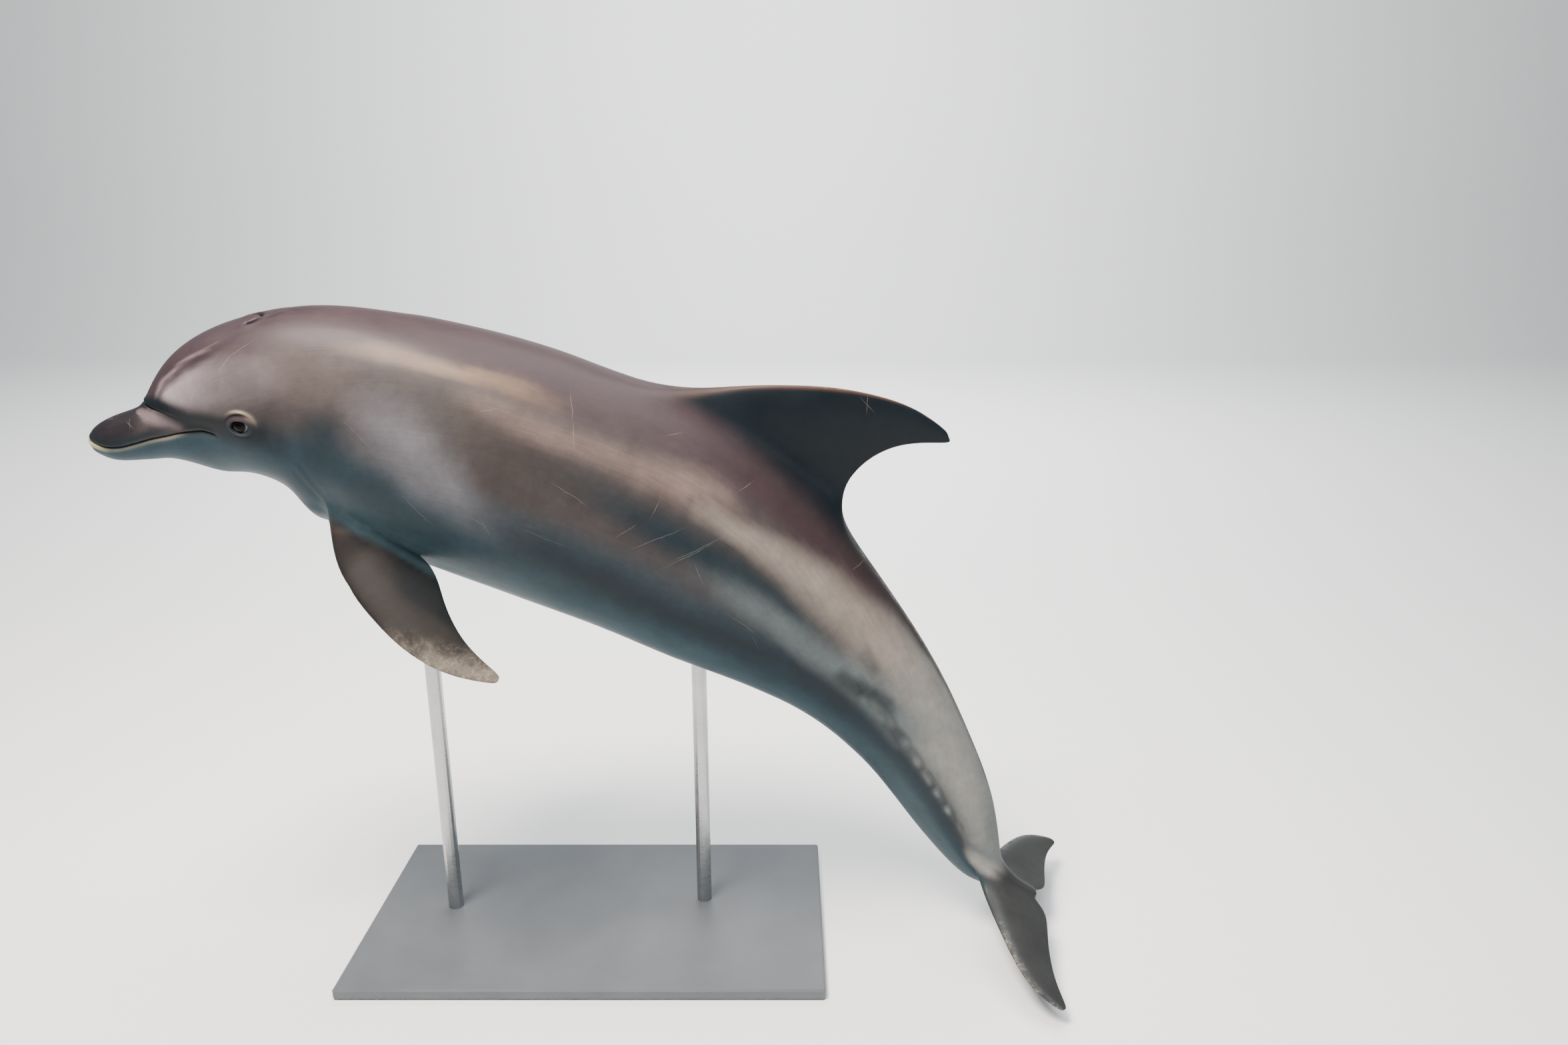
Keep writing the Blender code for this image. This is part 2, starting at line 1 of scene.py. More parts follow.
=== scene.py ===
# A life-size bottlenose dolphin on its display stand: skin, eyes, finishes, floor, lights and camera.
# Metres, +Z up.  The dolphin faces -X and its left side faces -Y.
import math

import bmesh
import bpy
import numpy as np
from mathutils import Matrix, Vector, noise
from mathutils.bvhtree import BVHTree


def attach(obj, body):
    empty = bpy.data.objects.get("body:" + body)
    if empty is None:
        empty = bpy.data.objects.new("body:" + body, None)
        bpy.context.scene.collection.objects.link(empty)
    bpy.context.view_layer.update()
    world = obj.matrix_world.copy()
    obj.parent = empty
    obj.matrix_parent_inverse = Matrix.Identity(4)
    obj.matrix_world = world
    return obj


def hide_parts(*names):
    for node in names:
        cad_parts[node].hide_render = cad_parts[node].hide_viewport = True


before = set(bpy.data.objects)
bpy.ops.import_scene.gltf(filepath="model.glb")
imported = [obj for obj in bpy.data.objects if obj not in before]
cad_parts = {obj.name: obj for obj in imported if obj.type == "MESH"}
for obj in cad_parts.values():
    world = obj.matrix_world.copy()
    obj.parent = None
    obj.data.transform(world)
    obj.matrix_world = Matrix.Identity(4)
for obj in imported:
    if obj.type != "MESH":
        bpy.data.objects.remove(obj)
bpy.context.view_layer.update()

print("frame loaded:", len(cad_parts), "nodes")

bothSides = (1, -1)     # the left side and the right


def linearOf(hexColour):
    # sRGB hex to a linear colour with alpha
    channels = [int(hexColour[i:i + 2], 16) / 255 for i in (1, 3, 5)]
    return tuple(c / 12.92 if c <= 0.04045 else ((c + 0.055) / 1.055) ** 2.4 for c in channels) + (1.0,)


def feed(tree, node, inputs):
    # links or sets a node's inputs, given by name or number
    for key, value in inputs.items():
        if isinstance(value, bpy.types.NodeSocket):
            tree.links.new(value, node.inputs[key])
        else:
            node.inputs[key].default_value = value


def addNode(tree, kind, inputs=(), operation=None, **settings):
    # adds one shader node and gives its outputs; its inputs are listed in order, or by name or number
    made = tree.nodes.new("ShaderNode" + kind)
    if operation:
        made.operation = operation
    for name, value in settings.items():
        setattr(made, name, value)
    feed(tree, made, inputs if isinstance(inputs, dict) else dict(enumerate(inputs)))
    return made.outputs


def newMaterial(name):
    made = bpy.data.materials.new(name)
    made.use_nodes = True
    return made, made.node_tree, made.node_tree.nodes["Principled BSDF"]


def layered(tree, colour, layers):
    # lays colours over one another, each by where its field lies between start and end
    for field, start, end, low, high, tint in layers:
        share = addNode(tree, "MapRange", (field, start, end, low, high))[0]
        colour = addNode(tree, "Mix", {0: share, 6: colour, 7: linearOf(tint)}, data_type="RGBA")[2]
    return colour


def deselectAll():
    if bpy.context.object and bpy.context.object.mode != "OBJECT":
        bpy.ops.object.mode_set(mode="OBJECT")
    bpy.ops.object.select_all(action="DESELECT")


def useOnly(item):
    deselectAll()
    item.select_set(True)
    bpy.context.view_layer.objects.active = item


def ramp(x, start, end):
    # smooth step from 0 at start to 1 at end
    t = np.clip((x - start) / (end - start), 0, 1)
    return t * t * (3 - 2 * t)


def bell(x, width):
    # 1 where x is 0, falling to 0.37 at the width
    return np.exp(-(x / width) ** 2)


# The body's form, in the same sizes as the solids.
pose = {
    "length": 2.40,           # along the backbone, on which every station is measured
    "beakTip": (-1.018, -0.116, 1.168),
    "pitch": ((0.34, -10), (0.44, 7.5), (0.54, 17), (0.66, 20.3), (0.82, 21), (1.0, 22.3), (1.2, 29),
        (1.4, 38), (1.6, 44), (1.8, 54.5), (1.95, 61), (2.08, 65), (2.18, 61), (2.28, 36), (2.4, 19)),
    "yaw": ((0.36, 10), (0.8, 5), (1.2, 0), (1.7, -6), (2.4, -10)),
    "roll": ((0.0, 9), (0.5, 8), (1.2, 6), (2.4, 4)),
    "step": 0.01,
}

body = {
    "back": ((0.1, 0.135), (0.18, 0.146), (0.24, 0.158), (0.32, 0.172), (0.42, 0.193), (0.52, 0.208),
        (0.64, 0.227), (0.8, 0.241), (0.96, 0.247), (1.12, 0.246), (1.3, 0.231), (1.5, 0.192), (1.62, 0.162),
        (1.75, 0.142), (1.9, 0.12), (2.05, 0.108), (2.16, 0.092), (2.24, 0.057), (2.32, 0.021), (2.4, 0.008)),
    "belly": ((0.16, 0.066), (0.22, 0.115), (0.26, 0.13), (0.3, 0.143), (0.36, 0.185), (0.42, 0.236),
        (0.5, 0.249), (0.6, 0.263), (0.8, 0.279), (1.04, 0.283), (1.2, 0.28), (1.36, 0.265), (1.52, 0.223),
        (1.68, 0.176), (1.84, 0.141), (2.0, 0.109), (2.12, 0.088), (2.22, 0.06), (2.32, 0.022), (2.4, 0.008)),
    "flank": ((0.16, 0.118), (0.3, 0.126), (0.36, 0.131), (0.46, 0.15), (0.6, 0.182), (0.8, 0.207),
        (1.0, 0.212), (1.2, 0.203), (1.4, 0.176), (1.6, 0.135), (1.8, 0.092), (1.95, 0.062), (2.1, 0.038),
        (2.22, 0.029), (2.4, 0.019)),
    "squareness": ((0.1, 2.2), (0.3, 2.1), (0.6, 2.0), (1.2, 2.0), (1.6, 1.9), (2.0, 1.75), (2.4, 1.9)),
}

beak = {
    "top": ((0.0, 0.028), (0.03, 0.032), (0.08, 0.042), (0.14, 0.053), (0.30, 0.065)),
    "under": ((0.0, 0.032), (0.03, 0.044), (0.08, 0.055), (0.14, 0.064), (0.18, 0.082), (0.22, 0.11),
        (0.28, 0.116), (0.36, 0.12)),
    "side": ((0.0, 0.03), (0.03, 0.035), (0.08, 0.042), (0.14, 0.054), (0.2, 0.075), (0.28, 0.097),
        (0.38, 0.11)),
    "squareness": 2.15,
    "rounding": 0.035,
    "crease": 0.114,          # where the melon starts, on the midline
    "creaseSweep": 0.085,     # how much further back that is beside the mouth
    "melonReach": 0.18,
    "cheekReach": 0.16,
    "joining": 16,
    "headBack": 0.46,
}

cage = {
    "rows": (0, 20, 44, 70, 90, 110, 126, 139, 151, 163, 180),
    "stations": (0.012, 0.038, 0.078, 0.116, 0.145, 0.185, 0.23, 0.28, 0.335, 0.39, 0.45, 0.5, 0.533, 0.567,
        0.6, 0.71, 0.86, 1.03, 1.142, 1.255, 1.367, 1.48, 1.63, 1.79, 1.95, 2.09, 2.225, 2.275, 2.33, 2.384),
    "finLevels": (0.17, 0.46, 0.78, 1.0),
    "crowding": {"dorsal": 7, "flipper": 4, "fade": 0.25},     # rows drawn in to the fins' roots, degrees
    "holds": {"ring": 0.8, "fin": 0.6, "tip": 0.0, "rest": 0.4},     # how far the fitting moves each point
    "notch": 2.392,
    "smoothing": 3,
}

# Fins: edges as (share from root to tip, distance back, distance out).
dorsalFin = {
    "station": 1.30, "root": (0, 0), "splay": -90, "sides": (1,), "rows": (1, 0, -1),
    "chord": (1.030, 1.480),
    "leading": ((0, -0.27, 0.225), (0.25, -0.152, 0.328), (0.5, -0.02, 0.414), (0.7, 0.076, 0.459),
        (0.85, 0.155, 0.479), (1, 0.227, 0.48)),
    "trailing": ((0, 0.185, 0.195), (0.25, 0.141, 0.257), (0.5, 0.134, 0.313), (0.7, 0.153, 0.371),
        (0.85, 0.19, 0.415), (1, 0.256, 0.458)),
    "thickness": ((0, 0.026), (0.5, 0.013), (1, 0.004)),
}

flipper = {
    "station": 0.55, "root": (0.105, -0.207), "splay": 41, "sides": bothSides, "rows": (9, 8, 7),
    "chord": (0.500, 0.600),
    "leading": ((0, -0.044, 0.012), (0.25, 0.025, 0.104), (0.5, 0.107, 0.178), (0.7, 0.185, 0.226),
        (0.85, 0.264, 0.249), (1, 0.354, 0.251)),
    "trailing": ((0, 0.05, 0.018), (0.12, 0.125, 0.019), (0.25, 0.194, 0.033), (0.5, 0.219, 0.11),
        (0.75, 0.272, 0.172), (1, 0.362, 0.226)),
    "thickness": ((0, 0.022), (0.5, 0.011), (1, 0.004)),
}

fluke = {
    "station": 2.40, "root": (0, 0), "splay": 6, "sides": bothSides, "rows": (5, 4, 3),
    "chord": (2.225, 2.384),
    "leading": ((0, -0.16, 0.025), (0.2, -0.128, 0.055), (0.4, -0.1, 0.115), (0.6, -0.066, 0.19),
        (0.8, -0.022, 0.251), (1, 0.044, 0.288)),
    "trailing": ((0, 0.002, 0.018), (0.2, 0.017, 0.05), (0.4, 0.02, 0.1), (0.6, 0.025, 0.155),
        (0.8, 0.037, 0.212), (1, 0.064, 0.272)),
    "thickness": ((0, 0.016), (0.5, 0.010), (1, 0.003)),
}


def along(knots, places, column=1):
    # values on the smooth curve through the knots, without overshoot
    at = np.array([knot[0] for knot in knots], float)
    value = np.array([knot[column] for knot in knots], float)
    rise = np.diff(value) / np.diff(at)
    slope = np.concatenate((rise[:1], np.zeros(len(at) - 2), rise[-1:]))
    for k in range(1, len(at) - 1):
        if rise[k - 1] * rise[k] > 0:
            slope[k] = 2 * rise[k - 1] * rise[k] / (rise[k - 1] + rise[k])
    places = np.clip(places, at[0], at[-1])
    i = np.clip(np.searchsorted(at, places, side="right") - 1, 0, len(at) - 2)
    width = at[i + 1] - at[i]
    t = (places - at[i]) / width
    bend = (1 + 2 * t) * (1 - t) ** 2 * value[i] + t * t * (3 - 2 * t) * value[i + 1]
    return bend + width * (t * (1 - t) ** 2 * slope[i] - t * t * (1 - t) * slope[i + 1])


def rounding(share):
    return np.sqrt(1 - (1 - np.clip(share, 0, 1)) ** 2)


def heading(station):
    pitch = np.radians(along(pose["pitch"], station))
    yaw = np.radians(along(pose["yaw"], station))
    return np.stack((np.cos(pitch) * np.cos(yaw), np.cos(pitch) * np.sin(yaw), -np.sin(pitch)), -1)


steps = round(pose["length"] / pose["step"]) + 1
strides = pose["step"] * heading((np.arange(steps) + 0.5) * pose["step"])
backbone = np.vstack(([pose["beakTip"]], np.array(pose["beakTip"]) + np.cumsum(strides, axis=0)))


def frameAt(station):
    # points on the backbone, with the directions back, left and up there
    station = np.asarray(station, float)
    i = np.clip(np.floor(station / pose["step"]).astype(int), 0, len(backbone) - 2)
    share = (station / pose["step"] - i)[..., None]
    point = backbone[i] * (1 - share) + backbone[i + 1] * share
    back = heading(station)
    level = np.cross(back, (0, 0, 1))
    level /= np.linalg.norm(level, axis=-1, keepdims=True)
    upright = np.cross(level, back)
    roll = np.radians(along(pose["roll"], station))[..., None]
    left = level * np.cos(roll) - upright * np.sin(roll)
    up = upright * np.cos(roll) + level * np.sin(roll)
    return point, back, left, up


def posed(station, left, up):
    point, _, leftward, upward = frameAt(station)
    return point + leftward * np.asarray(left)[..., None] + upward * np.asarray(up)[..., None]


def straightened(points):
    # station, left and up of points in the pose: the reverse of posed
    places = np.arange(0, pose["length"] + 0.08, pose["step"])
    spine = frameAt(places)[0]
    station = np.empty(len(points))
    for start in range(0, len(points), 20000):
        part = points[start:start + 20000]
        apart = ((part[:, None, :] - spine[None]) ** 2).sum(2)
        station[start:start + 20000] = places[apart.argmin(1)]
    for _ in range(4):
        point, back, left, up = frameAt(station)
        station = station + ((points - point) * back).sum(1) * 0.9
    point, _, left, up = frameAt(station)
    return np.stack((station, ((points - point) * left).sum(1), ((points - point) * up).sum(1)), 1)


def ovalReach(angle, side, height, squareness):
    sine = np.abs(np.sin(angle)) / side
    cosine = np.abs(np.cos(angle)) / height
    return (sine ** squareness + cosine ** squareness) ** (-1 / squareness)


def beakAndHead(station, angle):
    # reach of the beak and of the head or body behind it, each by itself
    upper = np.cos(angle) > 0
    height = np.where(upper, along(body["back"], station), along(body["belly"], station))
    whole = ovalReach(angle, along(body["flank"], station), height, along(body["squareness"], station))
    tip = rounding(station / beak["rounding"])
    height = np.where(upper, along(beak["top"], station), along(beak["under"], station))
    front = tip * ovalReach(angle, along(beak["side"], station), height, beak["squareness"])
    aside = np.minimum(1 - np.cos(angle), 1)
    start = beak["crease"] + beak["creaseSweep"] * aside
    length = beak["melonReach"] + (beak["cheekReach"] - beak["melonReach"]) * aside
    return front, whole * rounding((station - start) / length), whole


def reach(station, angle):
    # distance from the backbone to the skin, at an angle from the back's midline
    front, head, whole = beakAndHead(station, angle)
    joined = (front ** beak["joining"] + head ** beak["joining"]) ** (1 / beak["joining"])
    return np.where(np.asarray(station) > beak["headBack"], whole, joined)


rows = cage["rows"]
stations = cage["stations"]
half = len(rows) - 1
around = 2 * half


def nearness(place, start, end, fade):
    return max(0, 1 - max(start - place, place - end, 0) / fade)


def rowAngle(row, station):
    # rows run closer together where a fin's root needs them
    row = row % around
    mirrored = row > half
    if mirrored:
        row = around - row
    angle = rows[row]
    crowding = cage["crowding"]
    if row == 1:
        angle -= crowding["dorsal"] * nearness(station, *dorsalFin["chord"], crowding["fade"])
    if row in (7, 9):
        angle += (8 - row) * crowding["flipper"] * nearness(station, *flipper["chord"], crowding["fade"])
    return math.radians(-angle if mirrored else angle)


def finFrame(fin, side):
    # where a fin starts, and its directions back, out and over
    point, back, left, up = frameAt(fin["station"])
    splay = math.radians(fin["splay"])
    root = point + side * left * fin["root"][0] + up * fin["root"][1]
    out = side * left * math.cos(splay) - up * math.sin(splay)
    over = side * left * math.sin(splay) + up * math.cos(splay)
    return root, back, out, over


def finPoint(fin, place, level, share, side):
    # a point on a blade, which is plump near its front edge and thin behind
    root, back, out, over = place
    distance = reachOut = 0
    for edge, part in ((fin["leading"], 1 - share), (fin["trailing"], share)):
        distance += part * along(edge, level, 1)
        reachOut += part * along(edge, level, 2)
    plump = 2.2 * math.sqrt(share) * (1 - share) + 0.08
    thick = along(fin["thickness"], level) * plump
    return root + back * distance + out * reachOut + over * side * thick


def addFin(points, holds, faces, ring, fin, finSide):
    # a fin grown level by level from the faces left out at its root
    first, last = (stations.index(end) for end in fin["chord"])
    under, middle, over = (row * finSide for row in fin["rows"])
    span = last - first
    places = [(k, under) for k in range(span + 1)] + [(span, middle)]
    places += [(k, over) for k in range(span, -1, -1)] + [(0, middle)]
    loop = [ring[first + k, row % around] for k, row in places]
    place = finFrame(fin, finSide)

    def spot(level, k, row):
        side = 0 if row == middle else (1 if row == over else -1)
        share = k / span
        if side:
            share = min(max(share, 0.05), 0.92)
        points.append(finPoint(fin, place, level, share, side))
        kind = "fin" if level < 1 else ("tip" if k in (0, span) else "rest")
        holds.append(cage["holds"][kind])
        return len(points) - 1

    for level in cage["finLevels"]:
        outer = [spot(level, k, row) for k, row in places]
        for a in range(len(loop)):
            b = (a + 1) % len(loop)
            faces.append((loop[a], loop[b], outer[b], outer[a]))
        loop = outer
    edge = dict(zip(places, loop))
    for k in range(1, span):
        edge[k, middle] = spot(1.0, k, middle)
    for k in range(span):
        for a, b in ((under, middle), (middle, over)):
            faces.append((edge[k, a], edge[k + 1, a], edge[k + 1, b], edge[k, b]))


def addCap(points, holds, faces, ring, i, end):
    # a grid of faces over the end ring, six across, bulging to the end station
    across = 6
    down = half - across
    corner = across // 2
    station = stations[i]
    grid = {}
    for c in range(across + 1):
        grid[c, 0] = ring[i, (corner - c) % around]
        grid[c, down] = ring[i, (half - corner + c) % around]
    for r in range(down + 1):
        grid[0, r] = ring[i, corner + r]
        grid[across, r] = ring[i, (-corner - r) % around]
    for c in range(1, across):
        for r in range(1, down):
            u = 2 * c / across - 1
            v = 2 * r / down - 1
            size = max(abs(u), abs(v))
            angle = math.atan2(-u, -v)
            bulge = end + (station - end) * size ** 2
            far = reach(station, angle) * size
            points.append(posed(bulge, far * math.sin(angle), far * math.cos(angle)))
            holds.append(cage["holds"]["rest"])
            grid[c, r] = len(points) - 1
    for c in range(across):
        for r in range(down):
            faces.append((grid[c, r], grid[c + 1, r], grid[c + 1, r + 1], grid[c, r + 1]))


def bodyCage():
    # points, how far the fitting moves each of them, and faces
    points = []
    holds = []
    faces = []
    ring = {}
    for i, station in enumerate(stations):
        for row in range(around):
            angle = rowAngle(row, station)
            far = reach(station, angle)
            ring[i, row] = len(points)
            points.append(posed(station, far * math.sin(angle), far * math.cos(angle)))
            holds.append(cage["holds"]["ring" if i < len(stations) - 1 else "rest"])
    covered = set()
    fins = [(fin, side) for fin in (dorsalFin, flipper, fluke) for side in fin["sides"]]
    for fin, side in fins:
        first, last = (stations.index(end) for end in fin["chord"])
        inner = sorted(row * side for row in fin["rows"])[:2]
        covered.update((i, row % around) for i in range(first, last) for row in inner)
    for i in range(len(stations) - 1):
        for row in range(around):
            if (i, row) not in covered:
                after = (row + 1) % around
                faces.append((ring[i, row], ring[i, after], ring[i + 1, after], ring[i + 1, row]))
    for fin, side in fins:
        addFin(points, holds, faces, ring, fin, side)
    addCap(points, holds, faces, ring, 0, 0.0)
    addCap(points, holds, faces, ring, len(stations) - 1, cage["notch"])
    return points, holds, faces


def newObject(name, mesh):
    made = bpy.data.objects.new(name, mesh)
    bpy.context.scene.collection.objects.link(made)
    return made


def meshOf(item):
    graph = bpy.context.evaluated_depsgraph_get()
    return bpy.data.meshes.new_from_object(item.evaluated_get(graph))


def coordinates(mesh, kind="co"):
    found = np.empty(len(mesh.vertices) * 3)
    mesh.vertices.foreach_get(kind, found)
    return found.reshape(-1, 3)


def setCoordinates(mesh, points):
    mesh.vertices.foreach_set("co", np.ascontiguousarray(points, float).ravel())
    mesh.update()


def makeCage():
    # the cage, pushed out until its smoothed surface passes through the sections' points
    points, holds, faces = bodyCage()
    mesh = bpy.data.meshes.new("skin")
    mesh.from_pydata([tuple(map(float, point)) for point in points], [], faces)
    item = newObject("skin", mesh)
    useOnly(item)
    bpy.ops.object.mode_set(mode="EDIT")
    bpy.ops.mesh.select_all(action="SELECT")
    bpy.ops.mesh.normals_make_consistent(inside=False)
    bpy.ops.uv.smart_project(angle_limit=math.radians(66), island_margin=0.003)
    bpy.ops.object.mode_set(mode="OBJECT")
    mesh.uv_layers[0].name = "OFBake"
    smooth = item.modifiers.new("Smooth", "SUBSURF")
    smooth.levels = smooth.render_levels = 1
    wanted = np.array([tuple(point) for point in points])
    gain = np.array(holds)[:, None]
    for _ in range(3):
        drawn = meshOf(item)
        found = coordinates(drawn)[:len(wanted)]
        setCoordinates(mesh, coordinates(mesh) + gain * (wanted - found))
        bpy.data.meshes.remove(drawn)
        bpy.context.view_layer.update()
    return item


skin = makeCage()
print("cage made:", len(skin.data.polygons), "faces")

# The skin, smoothed, with finer faces at the mouth, the eyes, the blowhole and the melon's fold.
mouth = {
    "line": ((0.0, 0.01), (0.008, 0.006), (0.02, 0.0), (0.04, -0.009), (0.068, -0.013), (0.1, -0.01),
        (0.129, -0.006), (0.165, -0.003), (0.194, 0.0), (0.236, 0.001), (0.254, -0.004), (0.27, -0.013)),
    "corner": 0.268,
    "fading": 0.012,
    # height, distance above the line and width of the slit, the upper lip and the lower lip
    "profile": ((-0.0034, 0, 0.0015), (0.0013, 0.0055, 0.0045), (0.00104, -0.0060, 0.0045)),
}

eye = {
    "station": 0.322, "height": 0.005, "sink": 0.0125,
    "radius": 0.0185,
    "long": 0.0152,            # half the opening's length
    "tall": 0.0115,            # half the opening's height
    "tilt": -12,               # degrees by which the front corner is lower
    "floor": 0.0030,           # how far the skin inside the opening lies under the eyeball's front
    "cover": 0.0012,           # how thick the lids are over the eyeball
    "mound": (0.0034, 0, 0.036),     # the rise round the eye and the lids' rim: height, distance, width
    "rim": (0.0017, 0.0040, 0.0036),
    # folds: height, distance outside the opening, width, direction (0 behind, 90 above), its spread
    "folds": ((-0.0008, 0.0085, 0.0014, 115, 60), (-0.0026, 0.0125, 0.0022, 98, 62),
              (0.0022, 0.0175, 0.0034, 84, 40), (-0.0009, 0.0090, 0.0030, -75, 60)),
}

blowhole = {
    "station": 0.357, "left": 0.022,
    "radius": 0.018,
    "half": 80,                # degrees of arc on each side of its middle
    "profile": ((-0.0042, 0, 0.0022), (0.0020, 0.0062, 0.0042)),
}

melonFold = {
    "from": 0.09,              # the station where it starts
    "ends": (35, 72),          # the angles from the back between which it fades out
    "depth": 0.0045, "width": 0.0026,
    "rim": (0.0012, 0.0075, 0.0045),
}

refining = (0.0085, 0.0036, 0.0017)     # faces nearer than this to a detail are divided, in turn

smooth = skin.modifiers["Smooth"]
smooth.levels = smooth.render_levels = 5
limitMesh = meshOf(skin)
limitFaces = [tuple(face.vertices) for face in limitMesh.polygons]
limit = BVHTree.FromPolygons(coordinates(limitMesh).tolist(), limitFaces)
bpy.data.meshes.remove(limitMesh)
smooth.levels = smooth.render_levels = cage["smoothing"]
useOnly(skin)
bpy.ops.object.modifier_apply(modifier="Smooth")


def eyeFrame(side):
    # centre of the eyeball, with the directions it looks in, back and up
    angle = math.pi / 2 - eye["height"] / along(body["flank"], eye["station"])
    far = reach(eye["station"], angle) - eye["sink"]
    centre = Vector(posed(eye["station"], side * far, eye["height"]))
    gaze = Vector(limit.find_nearest(centre)[1])
    _, back, left, _ = frameAt(eye["station"])
    if gaze.dot(Vector(left) * side) < 0:
        gaze.negate()
    back = Vector(back)
    back = (back - gaze * back.dot(gaze)).normalized()
    up = back.cross(gaze) * (1 if side < 0 else -1)
    if up.z < 0:
        up.negate()
    turn = math.radians(eye["tilt"])
    tilted = back * math.cos(turn) + up * math.sin(turn), up * math.cos(turn) - back * math.sin(turn)
    return centre, gaze, *tilted


eyeFrames = {side: eyeFrame(side) for side in bothSides}


def eyePlace(points, side):
    # round an eye: distance from its axis, share of the opening's radius, distance outside the
    # opening, direction in degrees (0 behind the eye, 90 above it) and distance along its gaze
    centre, gaze, back, up = (np.array(v) for v in eyeFrames[side])
    away = points - centre
    behind, above = away @ back, away @ up
    rho = np.hypot(behind, above)
    ring = np.hypot(behind / eye["long"], above / eye["tall"])
    beyond = rho - rho / np.maximum(ring, 0.1)
    return rho, ring, beyond, np.degrees(np.arctan2(above, behind)), away @ gaze


def blowholeDistance(rest):
    # distance from the blowhole's arc
    ahead = rest[:, 0] - blowhole["station"]
    aside = rest[:, 1] - blowhole["left"]
    turn = np.radians(np.clip(np.degrees(np.arctan2(aside, ahead)), -blowhole["half"], blowhole["half"]))
    apart = np.hypot(ahead - blowhole["radius"] * np.cos(turn), aside - blowhole["radius"] * np.sin(turn))
    return np.where(rest[:, 2] > 0.05, apart, 1.0)


def foldDistance(station, angle, end):
    # distance from the fold between beak and melon, and where the melon lies outermost
    front, head, _ = beakAndHead(station, angle)
    return np.where((station > melonFold["from"]) & (station < end), np.abs(front - head), 1.0), front < head


def detailDistance(points, rest):
    # distance to the nearest of these details
    station, left, up = rest.T
    line = np.abs(up - along(mouth["line"], station)) + np.maximum(station - mouth["corner"], 0)
    nearest = np.where(station < mouth["corner"] + 0.03, line, 1.0)
    for side in bothSides:
        rho, ring, _, _, out = eyePlace(points, side)
        edge = np.abs(ring - 1) * eye["tall"]
        edge = np.where((out > -0.03) & (edge < 0.03), edge, 1.0)
        lids = np.where((out > -0.03) & (rho < 0.036), 0.0030, 1.0)
        nearest = np.minimum(np.minimum(nearest, edge), lids)
    angle = np.arctan2(np.abs(left), up)
    fold = np.where(angle < math.radians(70), foldDistance(station, angle, 0.28)[0], 1.0)
    return np.minimum(np.minimum(nearest, fold), blowholeDistance(rest))


def refine(item, within):
    mesh = item.data
    points = coordinates(mesh)
    near = detailDistance(points, straightened(points)) < within
    shape = bmesh.new()
    shape.from_mesh(mesh)
    chosen = [face for face in shape.faces if len(face.verts) == 4 and any(near[v.index] for v in face.verts)]
    edges = list({edge for face in chosen for edge in face.edges})
    known = len(shape.verts)
    bmesh.ops.subdivide_edges(shape, edges=edges, cuts=1, use_grid_fill=True)
    shape.verts.index_update()
    for vertex in shape.verts:
        if vertex.index >= known:
            vertex.co = limit.find_nearest(vertex.co)[0]
    shape.to_mesh(mesh)
    shape.free()


for within in refining:
    refine(skin, within)
for face in skin.data.polygons:
    face.use_smooth = True
print("skin refined:", len(skin.data.polygons), "faces")

# Carving: push gathers how far each point moves outwards.
points = coordinates(skin.data)
normals = coordinates(skin.data, "normal")
rest = straightened(points)
station, left, up = rest.T
angle = np.arctan2(np.abs(left), up)
radial = np.hypot(left, up)


def profile(distance, rows):
    # height of rows of (height, distance from a line, width)
    return sum(height * bell(distance - at, width) for height, at, width in rows)


offMouth = up - along(mouth["line"], station)
mouthFade = 1 - ramp(station, mouth["corner"] - mouth["fading"], mouth["corner"])
push = profile(offMouth, mouth["profile"]) * mouthFade

valley, onMelon = foldDistance(station, angle, 0.30)
valleyFade = 1 - ramp(angle, *np.radians(melonFold["ends"]))
push -= melonFold["depth"] * bell(valley, melonFold["width"]) * valleyFade
push += profile(np.where(onMelon, valley, 1.0), (melonFold["rim"],)) * valleyFade
push += profile(blowholeDistance(rest), blowhole["profile"])


def stretches(knots, station, angle):
    # for each stretch of a line of (station, angle) knots: its ends, each point's share along it
    # and distance from it
    for start, end in zip(knots, knots[1:]):
        rise = end[0] - start[0]
        turn = math.radians(end[1] - start[1]) * radial
        offStation = station - start[0]
        offAngle = (angle - math.radians(start[1])) * radial
        share = np.clip((offStation * rise + offAngle * turn) / (rise ** 2 + turn ** 2 + 1e-12), 0, 1)
        yield start, end, share, np.hypot(offStation - share * rise, offAngle - share * turn)


def lineDistance(knots):
    # distance along the skin to a line of knots, and how far along it from 0 to 1
    best = np.full(len(station), 9.0)
    progress = np.zeros(len(station))
    for k, (_, _, share, apart) in enumerate(stretches(knots, station, angle)):
        progress = np.where(apart < best, (k + share) / (len(knots) - 1), progress)
        best = np.minimum(best, apart)
    return best, progress


# folds of skin: knots of (station, angle from the back), half width and depth
folds = (
    (((0.385, 108), (0.436, 122), (0.463, 132), (0.498, 140.5), (0.536, 143.5)), 0.005, 0.001),
    (((0.4, 124), (0.432, 133), (0.47, 142), (0.505, 150)), 0.006, 0.0009),
    (((0.536, 143.5), (0.566, 144.8), (0.605, 145.8), (0.66, 147.8), (0.735, 150)), 0.006, 0.0016),
    (((0.362, 14.8), (0.376, 12.3), (0.397, 7.3), (0.425, 3.0)), 0.005, 0.0012),
    (((0.395, 96), (0.4, 97)), 0.003, 0.0016),
    (((0.365, 92), (0.378, 84), (0.384, 74)), 0.005, 0.0009),
    (((1.15, 180), (1.162, 180)), 0.006, 0.003),
    (((1.45, 180), (1.56, 180)), 0.0045, 0.004),
    (((1.61, 180), (1.63, 180)), 0.004, 0.003),
    (((1.48, 174), (1.52, 174)), 0.003, 0.0016),
    (((1.339, 80.4), (1.421, 82.8), (1.498, 85.2)), 0.003, 0.0006),
)
